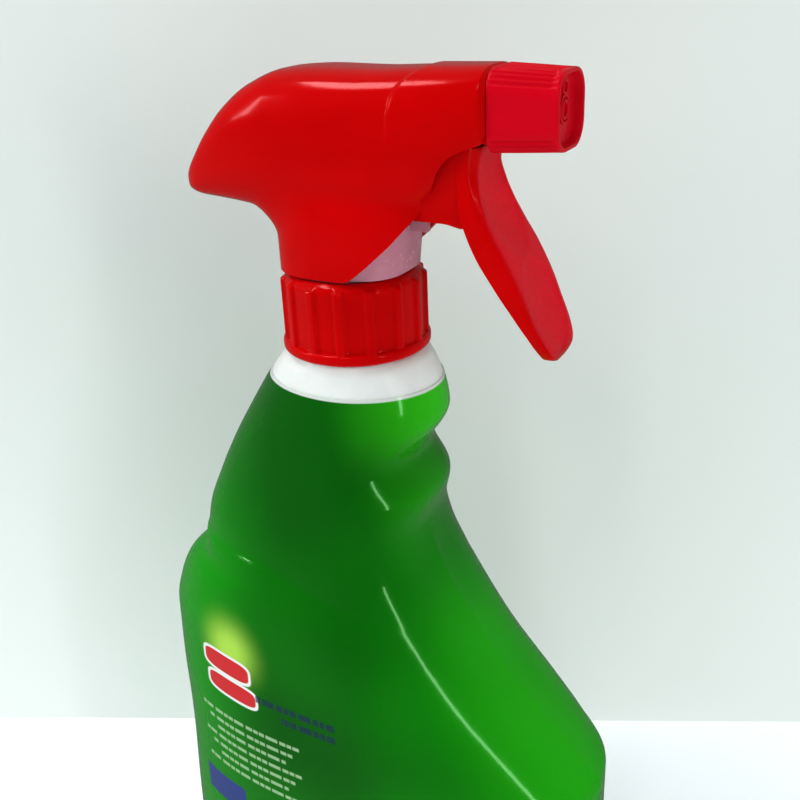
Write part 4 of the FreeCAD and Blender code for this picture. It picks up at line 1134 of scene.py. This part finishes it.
    def orifice_ring(self) -> bpy.types.Object:
        """Insert with a raised rounded ring and a dished middle, open along its axis."""
        face, back = self.face, self.face - self.face_thick
        radius = self.orifice
        profile = ((back, 0.25), (back, radius), (face + 0.34, radius), (face + 0.46, radius - 0.08),
                   (face + 0.5, radius - 0.22), (face + 0.5, radius - 0.42), (face + 0.44, radius - 0.56),
                   (face + 0.3, radius - 0.64), (face - 0.12, radius - 0.7), (face - 0.2, radius - 0.85),
                   (face - 0.2, 0.45), (face - 0.26, 0.25))
        shape = Shape("orifice_ring")
        shape.add(ring_about_x(profile, self.height, 72), loop=True)
        return shape.build(40.0)


# ---- finishes of the pieces and of the nodes that stay ----

RED = MouldedPlastic("sprayer_red", (0.54, 0.0003, 0.0007), (0.47, 0.0002, 0.0006))
NOZZLE_RED = MouldedPlastic("nozzle_red", (0.60, 0.001, 0.010), (0.53, 0.0008, 0.008), roughness=0.22,
                            specular=0.3, coat=0.0)
WHITE = PlainMaterial("bottle_white", (0.80, 0.82, 0.80), (0.74, 0.76, 0.74), 0.28, subsurface=0.15)
NATURAL = PlainMaterial("housing_natural", (0.60, 0.26, 0.33), (0.50, 0.20, 0.27), 0.22, subsurface=0.3)
INNER = PlainMaterial("inner_white", (0.78, 0.79, 0.78), (0.70, 0.71, 0.70), 0.35)
SEAL = PlainMaterial("seal_soft", (0.60, 0.61, 0.60), (0.50, 0.51, 0.50), 0.55)
TUBE = PlainMaterial("tube_clear", (0.82, 0.84, 0.84), (0.74, 0.77, 0.78), 0.18, transmission=0.6)
SPRING = PlainMaterial("spring_steel", (0.62, 0.62, 0.61), (0.50, 0.50, 0.49), 0.22, metallic=1.0,
                       cloud=300.0)
BALL = PlainMaterial("ball_steel", (0.70, 0.70, 0.71), (0.62, 0.62, 0.63), 0.08, metallic=1.0, cloud=300.0)

KEPT_NODES = {
    "sprayer_body": NATURAL, "tube_retainer": INNER, "dip_tube": TUBE, "inlet_ball": BALL, "ball_cage": INNER,
    "piston_rod": INNER, "piston_cup": SEAL, "vent_seal": SEAL, "neck_gasket": SEAL, "return_spring": SPRING,
    "discharge_valve": INNER, "discharge_spring": SPRING, "spinner": INNER, "nozzle_seal": SEAL,
}


def dress(piece: bpy.types.Object, material: bpy.types.Material) -> None:
    """Gives the piece one material."""
    piece.data.materials.clear()
    piece.data.materials.append(material)


def mount(piece: bpy.types.Object, material: bpy.types.Material, body: Body, node: str) -> None:
    """Dresses a new piece, rides it on its body and lets it stand for a CAD node.

    Args:
        piece: the new object.
        material: its finish.
        body: the body that it moves with.
        node: the CAD node that it replaces.
    """
    dress(piece, material)
    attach(piece, body.value)
    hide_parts(node)
    LOG.info("%s rides on %s for %s", piece.name, body.value, node)


def dress_kept_nodes() -> None:
    """Gives every CAD node that stays visible its procedural finish."""
    made: dict[str, bpy.types.Material] = {}
    for node, finish in KEPT_NODES.items():
        if finish.name not in made:
            made[finish.name] = finish.material()
        dress(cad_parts[node], made[finish.name])
        LOG.info("%s keeps its CAD mesh, finish %s", node, finish.name)


# ---- stage, light and camera ----

@dataclass(frozen=True)
class Lamp:
    """Rectangular soft light at a place that faces a target, in metres and watts."""

    name: str
    place: Point
    target: Point
    size: Span
    power: float
    colour: Colour
    mirrored: bool = False

    def build(self) -> None:
        """Adds the light; only a mirrored one shows in gloss."""
        data = bpy.data.lights.new(self.name, "AREA")
        data.shape = "RECTANGLE"
        data.size, data.size_y = self.size
        data.energy = self.power
        data.color = self.colour
        made = bpy.data.objects.new(self.name, data)
        made.visible_glossy = self.mirrored
        made.location = self.place
        toward = Vector(self.target) - Vector(self.place)
        made.rotation_euler = toward.to_track_quat("-Z", "Y").to_euler()
        bpy.context.scene.collection.objects.link(made)


@dataclass
class Studio:
    """Pale floor, a wall behind, soft lights and the camera."""

    focal: float = 45.0
    sensor: float = 36.0
    azimuth: float = 31.5
    distance: float = 214.9
    rise: float = 81.4
    pan: float = 2.4
    pitch: float = 24.3
    roll: float = -2.59
    wall_left: tuple[float, float] = (-116.0, 22.2)
    wall_right: tuple[float, float] = (52.6, 100.6)
    extent: float = 3.0
    wall_height: float = 2.4
    # The wall's glow is painted bounce light: its strength, and the height in metres where it has faded out;
    # the floor glows evenly.
    wall_painted_bounce: float = 0.2
    floor_lift: float = 0.36
    painted_bounce_top: float = 0.22
    sky: float = 0.25
    lamps: Sequence[Lamp] = (
        Lamp("top_soft", (-0.20, -0.10, 0.95), (0.0, 0.0, 0.15), (0.55, 0.30), 2.4, (1.0, 0.985, 0.97)),
        Lamp("fill_left", (-0.75, -0.75, 0.75), (0.0, 0.0, 0.14), (0.8, 0.8), 4.0, (0.97, 0.99, 1.0)),
        Lamp("fill_right", (0.85, -0.35, 0.45), (0.02, 0.0, 0.12), (0.5, 0.6), 1.8, (1.0, 1.0, 0.98)),
        Lamp("hood_strip", (-0.36, -0.15, 0.95), (0.0, 0.0, 0.23), (0.34, 0.10), 2.4, (1.0, 0.98, 0.97),
             True),
        Lamp("crest", (0.10, -0.70, 0.85), (0.0, 0.0, 0.16), (0.09, 0.34), 1.1, (0.95, 1.0, 1.0), True),
        Lamp("window", (-0.85, -0.60, 0.62), (0.0, 0.0, 0.16), (0.10, 0.46), 2.4, (0.95, 1.0, 1.0), True),
        Lamp("front_strip", (0.62, -0.28, 0.34), (0.0, 0.0, 0.14), (0.05, 0.5), 0.8, (0.97, 1.0, 1.0), True))

    def plane(self, name: str, corners: Sequence[Point]) -> bpy.types.Object:
        """Flat rectangle from its four corners, in metres."""
        mesh = bpy.data.meshes.new(name)
        mesh.from_pydata([list(c) for c in corners], [], [[0, 1, 2, 3]])
        made = bpy.data.objects.new(name, mesh)
        bpy.context.scene.collection.objects.link(made)
        return made

    def backdrop(self) -> None:
        """Adds the floor and a wall along a line on it; gloss mirrors neither."""
        left = np.array(self.wall_left) + [NECK_X, 0]
        right = np.array(self.wall_right) + [NECK_X, 0]
        along = (right - left) / np.linalg.norm(right - left)
        middle = (left + right) / 2 * MM
        a, b = middle - along * self.extent, middle + along * self.extent
        size = self.extent
        top = self.wall_height
        floor = self.plane("floor", [(-size, -size, 0), (size, -size, 0), (size, size, 0), (-size, size, 0)])
        wall = self.plane("wall", [(*a, 0), (*b, 0), (*b, top), (*a, top)])
        dress(floor, self.surface("floor_paper", (0.80, 0.835, 0.87), (0.77, 0.805, 0.84), False))
        dress(wall, self.surface("wall_paint", (0.76, 0.80, 0.77), (0.73, 0.775, 0.745), True))
        for stage_piece in (floor, wall):
            stage_piece.visible_glossy = False

    def surface(self, name: str, colour: Colour, other: Colour, one_sided: bool) -> bpy.types.Material:
        """Matt, faintly cloudy surface that glows a little; a one-sided one is clear from behind, and its
        glow is painted bounce light that fades out upwards from its foot.
        """
        graph = Graph(name)
        cloud = graph.noise(6.0, 3.0)
        graph.set(Base_Color=graph.blend(cloud, opaque(colour), opaque(other)),
                  Roughness=0.75, Specular_IOR_Level=0.1)
        graph.bump(graph.noise(400.0), 0.0001, 0.2)
        # On the wall the glow is painted bounce light, full at the floor and gone above the top height; the
        # floor glows evenly.
        even_glow_and_painted_bounce = graph.place()[2].ramp(self.painted_bounce_top, 0.0) if one_sided else 1.0
        graph.set(Emission_Color=graph.blend(even_glow_and_painted_bounce, opaque((0.0, 0.0, 0.0)), opaque(colour)),
                  Emission_Strength=self.wall_painted_bounce if one_sided else self.floor_lift)
        if one_sided:
            back = graph.node("ShaderNodeNewGeometry", {}, {}).outputs["Backfacing"]
            clear = graph.node("ShaderNodeBsdfTransparent", {}, {}).outputs[0]
            mix = graph.node("ShaderNodeMixShader", {}, {0: back, 1: graph.shader.outputs[0], 2: clear})
            graph.feed(graph.tree.nodes["Material Output"].inputs[0], mix.outputs[0])
        return graph.material

    def lights(self) -> None:
        """Broad fills that gloss does not mirror, strips that it does, and an even sky."""
        for lamp in self.lamps:
            lamp.build()
        world = bpy.data.worlds.new("studio_world")
        world.use_nodes = True
        world.node_tree.nodes["Background"].inputs[0].default_value = (0.60, 0.63, 0.62, 1.0)
        world.node_tree.nodes["Background"].inputs[1].default_value = self.sky
        bpy.context.scene.world = world
        bpy.context.scene.view_settings.view_transform = "Standard"

    def camera(self) -> None:
        """Camera from its azimuth, distance, rise above the collar's face, pan, pitch and roll."""
        azimuth, pitch, roll = (math.radians(v) for v in (self.azimuth, self.pitch, self.roll))
        look = azimuth - math.radians(self.pan)
        ahead = Vector((-math.sin(look), math.cos(look), 0.0))
        forward = ahead * math.cos(pitch) - Vector((0.0, 0.0, math.sin(pitch)))
        level = Vector((math.cos(look), math.sin(look), 0.0))
        upright = level.cross(forward)
        right = level * math.cos(roll) + upright * math.sin(roll)
        up = upright * math.cos(roll) - level * math.sin(roll)
        place = Vector(((self.distance * math.sin(azimuth) + NECK_X) * MM,
                        -self.distance * math.cos(azimuth) * MM, (self.rise + COLLAR_Z) * MM))
        data = bpy.data.cameras.new("camera")
        data.lens, data.sensor_width = self.focal, self.sensor
        data.clip_start = 0.01
        made = bpy.data.objects.new("camera", data)
        turn = Matrix((right, up, -forward)).transposed().to_4x4()
        made.matrix_world = Matrix.Translation(place) @ turn
        bpy.context.scene.collection.objects.link(made)
        bpy.context.scene.camera = made


def main() -> None:
    logging.basicConfig(level=logging.INFO, format="%(name)s %(message)s")
    studio = Studio()
    studio.camera()
    studio.backdrop()
    studio.lights()
    red, nozzle_red = RED.material(), NOZZLE_RED.material()
    bottle = Bottle()
    mount(bottle.shell(), WHITE.material(), Body.BOTTLE, "bottle")
    mount(bottle.sleeve(), SleeveFilm().material(), Body.BOTTLE, "shrink_sleeve")
    mount(Collar().build(), red, Body.COLLAR, "closure_collar")
    mount(Shroud().build(), red, Body.HEAD, "sprayer_shroud")
    mount(Trigger().build(), red, Body.TRIGGER, "trigger")
    nozzle = Nozzle()
    mount(nozzle.build(), nozzle_red, Body.NOZZLE, "nozzle_cap")
    mount(nozzle.orifice_ring(), nozzle_red, Body.NOZZLE, "orifice_insert")
    dress_kept_nodes()


if __name__ == "__main__":
    main()
